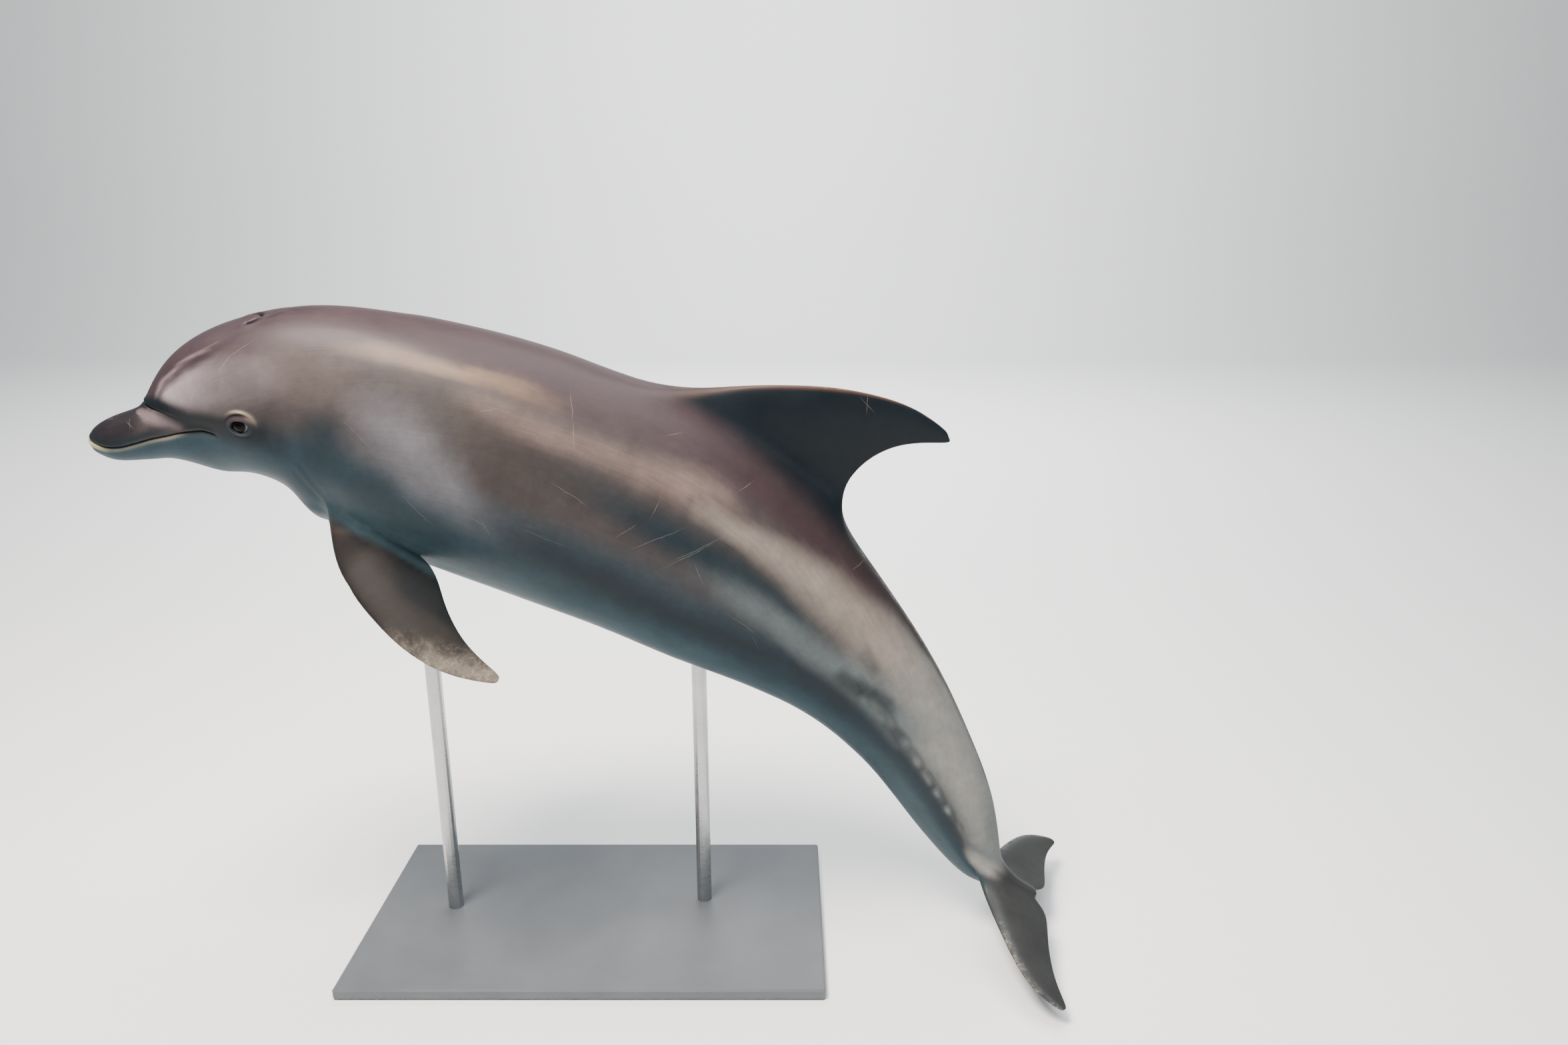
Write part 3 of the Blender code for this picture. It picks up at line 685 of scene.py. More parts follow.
for knots, width, depth in folds:
    apart, progress = lineDistance(knots)
    push -= depth * bell(apart, width) * ramp(progress, -0.05, 0.12) * (1 - ramp(progress, 0.88, 1.05))

# the tail stock: low swellings over its bones, as (station, angle, size), and grooves between the
# muscles, as (height, angle, width)
tailStock = {
    "swellings": ((1.705, 88, 0.01), (1.745, 84, 0.01), (1.78, 82, 0.01), (1.811, 87.7, 0.01),
        (1.843, 87.7, 0.01), (1.873, 87.7, 0.01), (1.903, 89, 0.01), (1.933, 90, 0.01), (1.962, 90, 0.009),
        (1.99, 90, 0.009), (2.018, 88, 0.009), (2.046, 86, 0.008), (2.073, 83, 0.008), (2.098, 79, 0.007),
        (2.12, 74, 0.007)),
    "swellingHeight": 0.0036,
    "grooves": ((-0.0030, 72, 0.020), (0.0030, 47, 0.030)),
}
# swellingHighlight and swellingRimShade: where a painted highlight goes on the swellings' tops and painted
# shade in a ring round them
swellingHighlight = np.zeros(len(points))
swellingRimShade = np.zeros(len(points))
for stationAt, angleAt, size in tailStock["swellings"]:
    apart = np.hypot(station - stationAt, (angle - math.radians(angleAt)) * radial)
    push += tailStock["swellingHeight"] * bell(apart, size)
    swellingHighlight = np.maximum(swellingHighlight, bell(apart, 0.7 * size))
    swellingRimShade = np.maximum(swellingRimShade, bell(apart - 1.3 * size, 0.45 * size))
tail = ramp(station, 1.1, 1.5) * (1 - ramp(station, 1.95, 2.15))
for height, angleAt, width in tailStock["grooves"]:
    push += height * bell((angle - math.radians(angleAt)) * radial, width) * tail

# faint waves over the body, about 100 mm long and 70 mm apart, 0.8 mm high
waves = np.array([noise.noise(Vector(place)) for place in rest * (9.0, 14.0, 14.0)])
push += 0.0008 * waves * ramp(station, 0.45, 0.7) * (1 - ramp(station, 2.0, 2.2))

for side in bothSides:
    rho, ring, beyond, turn, out = eyePlace(points, side)
    ball = np.sqrt(np.maximum(eye["radius"] ** 2 - rho ** 2, 0)) - eye["sink"]
    cover = eye["cover"]
    lid = np.log(np.exp((ball + cover) / cover) + 1) * cover
    lid += profile(rho, (eye["mound"],)) + profile(beyond, (eye["rim"],))
    for height, at, width, towards, spread in eye["folds"]:
        lid += height * bell(beyond - at, width) * bell(turn - towards, spread)
    inside = ball - eye["floor"]
    height = inside + (lid - inside) * ramp(ring, 0.95, 1.06)
    push = np.where((out > -0.03) & (rho < 0.06), height, 0) + push

jawTip = {"upper": 0.0065, "lower": 0.0030, "length": 0.07}     # how far the tips are drawn back
tipBack = np.where(offMouth > 0, jawTip["upper"], jawTip["lower"])
tipBack *= 1 - ramp(station, 0.0, jawTip["length"])
backwards = posed(0.10, 0.0, 0.0) - posed(0.0, 0.0, 0.0)
backwards /= np.linalg.norm(backwards)
setCoordinates(skin.data, points + normals * push[:, None] + backwards * tipBack[:, None])
print("skin carved")

# The skin's colours: soft areas and strokes laid on the straight body, both sides alike.
skinColours = {
    "back": "#32272a", "flank": "#3b3636", "lowFlank": "#22333b", "belly": "#33444b",
    "tail": "#676c6b", "throat": "#1b323d", "beakTop": "#1d1a20", "jaw": "#1e3640",
    "fin": "#0b141a", "finEdge": "#4a3229", "flipper": "#1f1c1b", "flipperFront": "#3d3531",
    "flipperPaintedShadeAndSpot": "#0c1114", "flipperTip": "#625c53", "fluke": "#2a2c2c", "flukeEdge": "#3b4041",
    "swellingHighlight": "#8b9291", "swellingRimShade": "#2c3335", "mouthShade": "#101c22", "mouthSlitShade": "#11181b",
    "lip": "#8d8975", "beakEnd": "#bfb184", "blowhole": "#0b0809", "blowholeFoldShade": "#15101a",
    "eyeStripeEndAndPaintedShadow": "#0e1a20", "eyelids": "#40343a", "lowLid": "#2c3a40", "lidFoldPaintedShade": "#120e0f",
    "lidCreasePaintedShade": "#1f1a1b", "browPaintedHighlight": "#c9b296", "browPaintedHighlightEnd": "#98887a", "eyeMargin": "#0a0a0b",
}

# Each stroke: a colour, then knots of (station, angle from the back, half width, strength).
strokes = {
    # paintedHighlightStreak: a painted highlight, a warm streak of light from above along the upper back
    "paintedHighlightStreak": ("#6f5a49", ((0.47, 36, 0.01, 0), (0.55, 34.5, 0.014, 0.5), (0.66, 34.7, 0.013, 0.8),
        (0.745, 34.4, 0.014, 0.75), (0.82, 34, 0.018, 0.4), (0.92, 35, 0.022, 0))),
    "neckPale": ("#5c5351", ((0.36, 48, 0.03, 0.2), (0.42, 50, 0.05, 0.5), (0.5, 56, 0.05, 0.4),
        (0.58, 60, 0.04, 0))),
    "shoulder": ("#656469", ((0.53, 70, 0.03, 0.1), (0.6, 78, 0.06, 0.75), (0.66, 82, 0.065, 0.95),
        (0.726, 93, 0.058, 0.9), (0.785, 102, 0.045, 0.65), (0.85, 107, 0.035, 0.35), (0.95, 112, 0.03, 0))),
    "behindHead": ("#14252c", ((0.44, 112, 0.03, 0.2), (0.47, 104, 0.035, 0.7), (0.487, 92, 0.035, 0.75),
        (0.49, 82, 0.025, 0.3))),
    # paintedShadeAboveFlipper: painted shade, dark teal from the throat's side to above the flipper, where the
    # body faces down
    "paintedShadeAboveFlipper": ("#14272f", ((0.44, 124, 0.03, 0.3), (0.52, 116, 0.035, 0.6), (0.62, 118, 0.035, 0.65),
        (0.74, 124, 0.035, 0.4), (0.86, 128, 0.03, 0))),
    "saddle": ("#383331", ((0.64, 52, 0.04, 0.2), (0.7, 57, 0.055, 0.6), (0.78, 66, 0.065, 0.85),
        (0.86, 72, 0.065, 0.9), (0.94, 68, 0.05, 0.85), (1.02, 72, 0.04, 0.7))),
    "streaky": ("#6a5b55", ((0.7, 46, 0.018, 0.1), (0.76, 47, 0.022, 0.35), (0.86, 50.5, 0.024, 0.5),
        (0.99, 51, 0.024, 0.55), (1.08, 50, 0.028, 0.6), (1.16, 48.5, 0.032, 0.8), (1.226, 47, 0.026, 0.5),
        (1.28, 48, 0.02, 0.2))),
    "flankBand": ("#1a262c", ((0.88, 66, 0.03, 0.1), (0.98, 70, 0.03, 0.35), (1.05, 72.5, 0.03, 0.6),
        (1.18, 75.3, 0.032, 1), (1.28, 75.4, 0.032, 1), (1.41, 75.3, 0.028, 0.95), (1.49, 72, 0.026, 0.9),
        (1.6, 66, 0.022, 0.35))),
    # lowFlankPaintedShade: painted shade, a dark band along the lower flank where the body turns under
    "lowFlankPaintedShade": ("#101e26", ((0.76, 100, 0.03, 0), (0.883, 110, 0.036, 0.7), (1.0, 114, 0.038, 0.9),
        (1.09, 116.4, 0.038, 1), (1.27, 119, 0.036, 1), (1.465, 117, 0.036, 1), (1.56, 109, 0.038, 0.95),
        (1.73, 110, 0.032, 0.95), (1.85, 104, 0.028, 0.85), (2.0, 92, 0.032, 0.85), (2.1, 82, 0.032, 0.85),
        (2.19, 80, 0.022, 0.6))),
    "blaze": ("#80776f", ((1.2, 57, 0.014, 0.3), (1.28, 56, 0.018, 0.7), (1.38, 53, 0.028, 0.9),
        (1.515, 48, 0.042, 1), (1.65, 40, 0.05, 1), (1.77, 36, 0.055, 0.8), (1.85, 36, 0.05, 0))),
    "blazeRear": ("#7e7d79", ((1.7, 38, 0.04, 0), (1.8, 36, 0.055, 0.8), (1.93, 33, 0.044, 1),
        (2.06, 28, 0.024, 0.9), (2.18, 36, 0.014, 0.4))),
    "flukeRoot": ("#8b8a86", ((2.19, 82, 0.01, 0.3), (2.22, 78, 0.014, 0.8), (2.26, 62, 0.014, 0.7),
        (2.29, 35, 0.012, 0.4))),
    "lowBlaze": ("#555d5f", ((1.25, 86, 0.018, 0.1), (1.31, 85.3, 0.024, 0.45), (1.42, 87.6, 0.026, 0.9),
        (1.53, 87.6, 0.028, 0.95), (1.61, 86, 0.028, 0.9), (1.71, 78, 0.034, 0.85), (1.84, 74, 0.035, 0.8))),
    "patchA": ("#1d2224", ((1.66, 91, 0.016, 0.7), (1.7, 87, 0.019, 0.95), (1.73, 83, 0.012, 0.6))),
    "patchB": ("#23282a", ((1.74, 80, 0.014, 0.8), (1.775, 75, 0.015, 0.75))),
    "patchC": ("#313335", ((1.64, 58, 0.016, 0.45), (1.69, 61, 0.015, 0.55))),
    "patchD": ("#23292c", ((1.81, 92, 0.012, 0.6), (1.85, 89, 0.013, 0.75))),
    "keel": ("#1b1513", ((1.43, 0, 0.034, 0.9), (1.5, 0, 0.042, 1), (1.58, 0, 0.036, 1), (1.67, 0, 0.026, 1),
        (1.77, 0, 0.014, 0.9), (1.91, 0, 0.007, 0.8), (2.1, 0, 0.004, 0.5))),
    "finRoot": ("#0b1318", ((1.035, 0, 0.004, 0.4), (1.1, 0, 0.026, 0.95), (1.2, 0, 0.044, 1),
        (1.33, 0, 0.048, 1), (1.43, 0, 0.044, 1), (1.5, 0, 0.026, 0.8))),
    "melonTop": ("#2c2429", ((0.116, 0, 0.006, 0.6), (0.135, 0, 0.018, 0.85), (0.17, 0, 0.03, 0.9),
        (0.22, 0, 0.044, 0.9), (0.28, 0, 0.054, 0.85), (0.32, 0, 0.05, 0.8), (0.36, 0, 0.045, 0.6),
        (0.4, 0, 0.03, 0))),
    "melonSide": ("#988c91", ((0.165, 50, 0.016, 0.6), (0.2, 46, 0.027, 0.95), (0.24, 47, 0.034, 0.6),
        (0.3, 52, 0.04, 0.25), (0.36, 54, 0.04, 0.15))),
    "bridle": ("#221920", ((0.15, 40, 0.004, 0.4), (0.2, 34.5, 0.0075, 0.75), (0.26, 31.6, 0.0095, 0.8),
        (0.306, 28.4, 0.0095, 0.8), (0.349, 22, 0.007, 0.6))),
    "bridleGap": ("#7c6b73", ((0.14, 36, 0.002, 0.5), (0.2, 29, 0.0035, 0.6), (0.26, 26.5, 0.003, 0.5),
        (0.32, 23, 0.002, 0))),
    "beakBack": ("#18151a", ((0.0, 0, 0.036, 0.9), (0.05, 0, 0.046, 0.95), (0.09, 0, 0.048, 0.95),
        (0.115, 0, 0.034, 0.9), (0.125, 0, 0.01, 0.5))),
    "beakCheek": ("#6d6064", ((0.118, 26, 0.004, 0.4), (0.14, 48, 0.012, 0.75), (0.165, 62, 0.014, 0.8),
        (0.198, 76, 0.009, 0.6))),
    "eyeStripe": ("#070f14", ((0.118, 4, 0.004, 0.9), (0.145, 28, 0.008, 1), (0.19, 57.5, 0.015, 1),
        (0.224, 75.0, 0.02, 1), (0.262, 82, 0.019, 1), (0.302, 90, 0.017, 0.95))),
    "eyePatch": ("#08131a", ((0.29, 93, 0.02, 0.9), (0.322, 95, 0.028, 1), (0.345, 98, 0.028, 0.9),
        (0.375, 104, 0.032, 0.55))),
    "jawCorner": ("#162831", ((0.25, 99, 0.008, 0.3), (0.275, 101, 0.012, 0.5), (0.31, 103, 0.014, 0.5))),
}


def softNoise(points, size, octaves=3):
    # smooth noise of about -1 to 1, for features of about that size in metres
    return np.array([noise.fractal(Vector(point) / size, 1.0, 2.0, octaves) for point in points])


def strokeWeight(knots, station, angle):
    # how strongly a stroke covers each point: full in its middle, soft at its edges
    best = np.zeros(len(station))
    onHead = 1 - ramp(station, 0.40, 0.50)
    for start, end, share, apart in stretches(knots, station, angle):
        width = start[2] + (end[2] - start[2]) * share
        firm = np.maximum(onHead, 1 - ramp(width, 0.014, 0.030))
        strength = start[3] + (end[3] - start[3]) * share
        best = np.maximum(best, strength * (1 - ramp(apart / width - 0.35 * firm, 0.0, 1.95 - 0.55 * firm)))
    return best


def plain(name):
    return np.tile(linearOf(skinColours[name])[:3], (len(points), 1))


def painted(colour, coats):
    # lays coats over a colour, each the name of a skin colour or a hex, and its share at each point
    for name, share in coats:
        tint = np.array(linearOf(skinColours.get(name, name))[:3])
        colour = colour + (tint - colour) * share[:, None]
    return colour


warp = softNoise(rest, 0.11)
warpFine = softNoise(rest + 7.3, 0.035)
paintStation = station + 0.020 * warp + 0.004 * warpFine
paintAngle = angle + (0.020 * warpFine + 0.045 * softNoise(rest + 3.1, 0.16)) * ramp(station, 0.3, 0.6)
degrees = np.degrees(paintAngle)
tailLow = degrees + 22 * ramp(station, 1.8, 2.1)
beakReach = station + 0.0008 * np.degrees(angle)
colour = painted(plain("back"), (
    ("flank", ramp(degrees, 26, 50)),
    ("lowFlank", ramp(degrees, 84, 112)),
    # belly: its own paler underside, darkened and tinted teal as painted shade from below
    ("belly", ramp(degrees, 122, 150)),
    # tail: the tail stock's own paler grey, with painted light on its upper side
    ("tail", 0.9 * ramp(station, 1.56, 1.80) * (1 - ramp(tailLow, 90, 116))),
    ("throat", (1 - ramp(station, 0.42, 0.60)) * ramp(degrees, 96, 122)),
    ("jaw", (1 - ramp(station, 0.24, 0.34)) * ramp(-offMouth, 0.0, 0.012)),
    ("beakTop", 0.85 * (1 - ramp(beakReach, 0.135, 0.185)) * ramp(offMouth, 0.0, 0.004)),
))

atHead = station < 0.45      # strokes keep closer to their places there
strokeStation = np.where(atHead, station + 0.003 * warpFine, paintStation)
strokeAngle = np.where(atHead, angle + 0.02 * warpFine, paintAngle)
for tint, knots in strokes.values():
    colour = painted(colour, ((tint, strokeWeight(knots, strokeStation, strokeAngle)),))

lipShow = (1 - ramp(station, 0.17, 0.215)) * bell(offMouth + 0.0050, 0.0034)
lipShow *= 0.55 + 0.45 * bell(station - 0.165, 0.035) + 0.3 * bell(station, 0.06)
endShow = (1 - ramp(station, 0.010, 0.050)) * (1 - ramp(np.abs(offMouth + 0.005), 0.003, 0.009))
colour = painted(colour, (
    # painted shade round the tail stock's swellings and a painted highlight on their tops
    ("swellingRimShade", 0.5 * swellingRimShade),
    ("swellingHighlight", 0.5 * swellingHighlight * ramp(station, 1.84, 1.98)),
    ("mouthShade", 0.75 * bell(offMouth - 0.010, 0.009) * (1 - ramp(station, 0.14, 0.20))),
    ("lip", np.clip(0.62 * lipShow, 0, 1)),
    ("beakEnd", 0.85 * endShow),
    # blowhole: painted shade in the blowhole's slit
    ("blowhole", 0.95 * bell(blowholeDistance(rest), 0.0021)),
    # blowholeFoldShade: painted shade in the skin fold behind the blowhole
    ("blowholeFoldShade", 0.6 * bell(lineDistance(folds[3][0])[0], 0.0030)),
    # mouthSlitShade: painted shade along the slit between the lips
    ("mouthSlitShade", 0.8 * bell(offMouth, 0.0016) * mouthFade),
))

# round the eyes: colour, strength, distance outside the opening, width, direction and its spread
eyeCoats = (
    ("eyelids", 0.75, 0.0055, 0.0055, 105, 92), ("lowLid", 0.4, 0.0026, 0.0026, -75, 65),
    # lidFoldPaintedShade and lidCreasePaintedShade: painted shade in the folds above and ahead of the eye
    ("lidFoldPaintedShade", 0.9, 0.0120, 0.0019, 112, 58), ("lidCreasePaintedShade", 0.5, 0.0084, 0.0012, 115, 60),
    # browPaintedHighlight and browPaintedHighlightEnd: a painted highlight along the raised ridge above the
    # eye
    ("browPaintedHighlight", 0.8, 0.0172, 0.0026, 82, 34), ("browPaintedHighlightEnd", 0.6, 0.0150, 0.0060, 42, 24),
)
for side in bothSides:
    rho, ring, beyond, turn, out = eyePlace(points, side)
    near = (np.abs(out) < 0.04) & (rho < 0.07)
    beyond = np.where(near, beyond, 1.0)
    colour = painted(colour, (
        # eyeStripeEndAndPaintedShadow: first painted shadow below and behind the eye, then the dark end of the
        # eye stripe ahead of it
        ("eyeStripeEndAndPaintedShadow", 0.95 * bell(np.maximum(beyond - 0.006, 0), 0.0105) * bell(turn + 58, 78)),
        ("eyeStripeEndAndPaintedShadow", 0.85 * bell(beyond - 0.016, 0.0070) * bell(np.abs(turn - 10) - 165, 22)),
        *((name, strength * bell(beyond - at, width) * bell(turn - towards, spread))
          for name, strength, at, width, towards, spread in eyeCoats),
        ("eyeMargin", np.where(near, 1 - ramp(ring, 0.99, 1.09), 0)),
    ))


def bladePlace(fin, side):
    # how far out and how far back on a fin's blade each point is, and how far from its front edge
    root, back, outward, _ = finFrame(fin, side)
    distance, reachOut = (points - root) @ back, (points - root) @ outward
    levels = np.linspace(0, 1, 60)
    leadBack, leadOut = (along(fin["leading"], levels, column) for column in (1, 2))
    trailBack, trailOut = (along(fin["trailing"], levels, column) for column in (1, 2))
    level = np.interp(reachOut, np.maximum.accumulate((leadOut + trailOut) / 2), levels)
    lead = np.interp(reachOut, np.maximum.accumulate(leadOut), leadBack)
    trail = np.interp(reachOut, np.maximum.accumulate(trailOut), trailBack)
    return level, (distance - lead) / np.maximum(trail - lead, 0.01), distance - lead


# The fins' colours, and where their ends and edges and the keel are worn.
beyond = radial - reach(station, angle)
onDorsal = np.where((station > 0.95) & (station < 1.9) & (up > 0.15), ramp(beyond, 0.004, 0.030), 0)
level, _, fromLead = bladePlace(dorsalFin, 1)
colour = painted(colour, (
    # fin: the dorsal fin's own darker grey, made near-black as painted shadow on its side
    ("fin", onDorsal),
    ("finEdge", onDorsal * (1 - ramp(fromLead, 0.004, 0.022)) * (0.45 + 0.35 * ramp(level, 0.1, 0.5))),
))
worn = 0.8 * onDorsal * ramp(level, 0.3, 0.8) * (1 - ramp(fromLead, 0.001, 0.006))
for side in bothSides:
    near = (station > 0.40) & (station < 1.1) & (up < -0.05) & (left * side > 0)
    onFlipper = np.where(near, ramp(beyond, 0.002, 0.030), 0)
    level, share, _ = bladePlace(flipper, side)
    # shadedWedge: where painted shade lies on the flipper, over its rear upper part and along its trailing
    # edge
    shadedWedge = ramp(share, 0.42, 0.66) * (1 - ramp(level - 0.15 * share, 0.30, 0.44))
    shadedWedge += 0.5 * ramp(share, 0.8, 1.0)
    blade = painted(plain("flipper"), (
        ("flipperFront", 0.6 * bell(np.hypot(level - 0.03, 0.3 * (share - 0.15)), 0.06)),
        # flipperPaintedShadeAndSpot: painted shade over the shaded wedge, then the flipper's own dark spot
        # near its root
        ("flipperPaintedShadeAndSpot", np.clip(shadedWedge, 0, 1)),
        ("flipperPaintedShadeAndSpot", 0.8 * bell(np.hypot(level - 0.09, 0.35 * (share - 0.30)), 0.035)),
        ("flipperTip", ramp(level, 0.60, 0.98) * ramp(0.5 + 0.5 * warpFine + level, 0.8, 1.6)),
    ))
    rearShare = np.clip(share - 0.3, 0, 0.6)
    covered = onFlipper * ramp(beyond, 0.02 * rearShare, 0.010 + 0.05 * rearShare)
    colour = colour + (blade - colour) * covered[:, None]
    worn += onFlipper * ramp(level, 0.60, 1.05)

    near = (station > 2.15) & (left * side >= 0)
    onFluke = np.where(near, np.maximum(ramp(np.abs(left), 0.030, 0.060), ramp(station, 2.25, 2.31)), 0)
    level, _, fromLead = bladePlace(fluke, side)
    edge = onFluke * bell(fromLead - 0.012, 0.010) * 0.6
    colour = painted(colour, (("fluke", onFluke), ("flukeEdge", edge)))
    worn += onFluke * ramp(level, 0.35, 0.6) * (1 - ramp(fromLead, 0.004, 0.022))
keel = (1 - ramp(np.abs(left), 0.003, 0.0075)) * (up > 0) * (1 - onDorsal)
worn += 0.9 * keel * ramp(station, 1.47, 1.53) * (1 - ramp(station, 1.95, 2.1))

# Scratches, each a thin line: its distance across and where it shows, in three channels.
scratches = {
    "strength": 0.8,
    "margin": 0.024,           # how far past its ends a scratch can still show
    "headMargin": 0.008,
    "channels": 3,
    "seed": 7,
    "count": 36,               # those in chance places, a quarter of them on the left
    "finStrength": 1.0,
    "finMargin": 0.010,
}

# (start, end) as (station, angle), seen on the left side
leftScratches = (
    ((0.901, 26.5), (0.925, 40.4)), ((0.925, 40.4), (0.949, 54.2)), ((1.131, 60.9), (1.13, 69.9)),
    ((1.117, 92.6), (1.198, 67.0)), ((1.198, 92.6), (1.262, 66.0)), ((1.205, 88.0), (1.269, 61.0)),
    ((1.255, 82.9), (1.283, 90.2)), ((0.926, 72.7), (1.01, 77.9)), ((1.085, 88.0), (1.11, 78.0)),
    ((1.097, 27.7), (1.111, 23.7)), ((0.758, 50.6), (0.781, 47.3)), ((1.253, 35.5), (1.267, 27.0)),
    ((1.518, 21.5), (1.531, 4.0)), ((0.369, 28.5), (0.338, 35.0)), ((0.338, 35.0), (0.313, 43.9)),
    ((0.66, 110), (0.73, 121)), ((1.36, 100), (1.45, 103)), ((1.6, 40), (1.66, 52)), ((1.9, 70), (1.96, 61)),
    ((0.32, 22.7), (0.28, 25.6)), ((0.28, 25.6), (0.235, 25.9)), ((0.052, 8), (0.064, 18)),
    ((0.098, 50), (0.104, 62)), ((0.102, 47), (0.1, 60)), ((0.118, 30), (0.126, 34)),
)
finScratches = (((0.064, 0.449), (0.080, 0.420)), ((0.060, 0.437), (0.084, 0.432)))     # (back, out)
scratchShow = np.zeros((len(points), scratches["channels"]))
scratchAcross = np.full(scratchShow.shape, 0.05)
scratchNear = np.full(scratchShow.shape, 9.0)


def skinPoint(stationAt, angleAt, side):
    turn = math.radians(angleAt)
    far = reach(stationAt, turn)
    return posed(stationAt, side * far * math.sin(turn), far * math.cos(turn))


def addScratch(number, a, b, strength, margin):
    # every point takes the line nearest to it, so that no false line shows between two of them
    channel = number % scratches["channels"]
    run = b - a
    length = np.linalg.norm(run)
    run = run / length
    outward = normals[np.argmin(((points - (a + b) / 2) ** 2).sum(1))]
    across = np.cross(outward, run)
    away = points - a
    ahead = away @ run
    gone = np.linalg.norm(away - np.clip(ahead, 0, length)[:, None] * run, axis=1)
    show = strength * ramp(ahead, -0.008, length * 0.35) * (1 - ramp(ahead, length * 0.7, length + 0.008))
    show *= 1 - ramp(gone, margin, margin + 0.006)
    use = gone < scratchNear[:, channel]
    scratchNear[use, channel] = gone[use]
    scratchShow[use, channel] = show[use]
    scratchAcross[use, channel] = (away @ across / np.linalg.norm(across))[use]


for i, (start, end) in enumerate(leftScratches):
    margin = scratches["margin"] if start[0] > 0.45 else scratches["headMargin"]
    addScratch(i, skinPoint(*start, 1), skinPoint(*end, 1), scratches["strength"], margin)
rng = np.random.default_rng(scratches["seed"])
for i in range(scratches["count"]):
    side = 1 if i % 4 == 0 else -1
    begin = rng.uniform(0.5, 2.0), rng.uniform(15, 115)
    lean = rng.uniform(-1, 1)
    long = rng.uniform(0.03, 0.11)
    finish = begin[0] + long * math.cos(lean), begin[1] + math.degrees(long * math.sin(lean) / 0.19)
    a, b = skinPoint(*begin, side), skinPoint(*finish, side)
    addScratch(i, a, b, rng.uniform(0.25, 0.6), scratches["margin"])
root, back, outward, over = finFrame(dorsalFin, 1)
for i, ends in enumerate(finScratches):
    a, b = (root + distance * back + reachOut * outward - 0.006 * over for distance, reachOut in ends)
    addScratch(i, a, b, scratches["finStrength"], scratches["finMargin"])


def addAttribute(item, name, kind, *columns):
    made = item.data.attributes.new(name, kind, "POINT")
    key = {"FLOAT": "value", "FLOAT_VECTOR": "vector", "FLOAT_COLOR": "color"}[kind]
    made.data.foreach_set(key, np.column_stack(columns).ravel())


def weight(name):
    return strokeWeight(strokes[name][1], station, angle)


nothing = np.zeros(len(points))
streaky = weight("streaky") + 0.25 * weight("blaze")
grain = weight("beakBack") * (1 - 0.4 * ramp(station, 0.03, 0.11)) + 0.25 * (1 - ramp(station, 0.10, 0.30))
spots = ramp(np.degrees(angle), 132, 150) * ramp(station, 1.15, 1.35) * (1 - ramp(station, 1.75, 1.95))
girth = np.arctan2(left, up) * np.minimum(radial, 0.25)
addAttribute(skin, "rest", "FLOAT_VECTOR", rest)
addAttribute(skin, "lie", "FLOAT_VECTOR", station, girth, nothing)
addAttribute(skin, "coat", "FLOAT_COLOR", colour, nothing + 1)
addAttribute(skin, "detail", "FLOAT_VECTOR", np.clip(streaky, 0, 1), np.clip(grain, 0, 1), spots)
addAttribute(skin, "worn", "FLOAT", np.clip(worn, 0, 1))
addAttribute(skin, "scratchAcross", "FLOAT_VECTOR", scratchAcross)
addAttribute(skin, "scratchShow", "FLOAT_VECTOR", scratchShow)

# Cetacean skin: smooth, rubbery and wet.  It gives a broad soft sheen over fine
# lengthwise streaks, mottling, and thin pale scratches.
skinMaterial, tree, shader = newMaterial("wetDolphinSkin")
coat = addNode(tree, "Attribute", attribute_name="coat")["Color"]
wornShare = addNode(tree, "Attribute", attribute_name="worn")["Fac"]
restPlace, lie, details, across, show = (
    addNode(tree, "Attribute", attribute_name=name)["Vector"]
    for name in ("rest", "lie", "detail", "scratchAcross", "scratchShow"))
detailParts, acrossParts, showParts = (
    addNode(tree, "SeparateXYZ", (field,)) for field in (details, across, show))
drawn, finelyDrawn = (
    addNode(tree, "VectorMath", (lie, amounts), "MULTIPLY")[0]
    for amounts in ((7.0, 170.0, 1.0), (16.0, 520.0, 1.0)))
cloudy, mottle, speckle, flaked, streaks, fineStreaks = (
    addNode(tree, "TexNoise", {"Vector": place, "Scale": scale, "Detail": detail, "Roughness": rough})["Fac"]
    for place, scale, detail, rough in (
        (restPlace, 14.0, 4.0, 0.6),       # clouding, features of about 70 mm
        (restPlace, 60.0, 4.0, 0.6),       # mottling of about 15 mm
        (restPlace, 420.0, 2.0, 0.6),      # grain of 2 mm, drawn coarse enough to show
        (restPlace, 150.0, 5.0, 0.7),      # flaking of 7 mm
        (drawn, 1.0, 5.0, 0.65),           # lines 6 mm apart and 150 mm long
        (finelyDrawn, 1.0, 3.0, 0.6)))     # lines 2 mm apart
spotCells = addNode(tree, "TexVoronoi", {"Vector": restPlace, "Scale": 55.0, "Randomness": 1.0})["Distance"]

# how light the coat is, from soft fields and then from its streaks and grain
light = 1.0
for field, low, high in ((cloudy, 0.86, 1.13), (mottle, 0.93, 1.07), (streaks, 0.95, 1.05)):
    share = addNode(tree, "MapRange", (field, 0.3, 0.7, low, high))[0]
    light = addNode(tree, "Math", (light, share), "MULTIPLY")[0]
for field, part, gain, least in (
        (fineStreaks, 0, 0.75, 0.10), (streaks, 0, 0.55, 0.0), (speckle, 1, 1.6, 0.10)):
    swing = addNode(tree, "Math", (field, 0.5), "SUBTRACT")[0]
    amount = addNode(tree, "Math", (detailParts[part], gain, least), "MULTIPLY_ADD")[0]
    light = addNode(tree, "Math", (swing, amount, light), "MULTIPLY_ADD")[0]
grey = addNode(tree, "CombineColor", (light, light, light))[0]
lit = addNode(tree, "Mix", {0: 1.0, 6: coat, 7: grey}, data_type="RGBA", blend_type="MULTIPLY")[2]

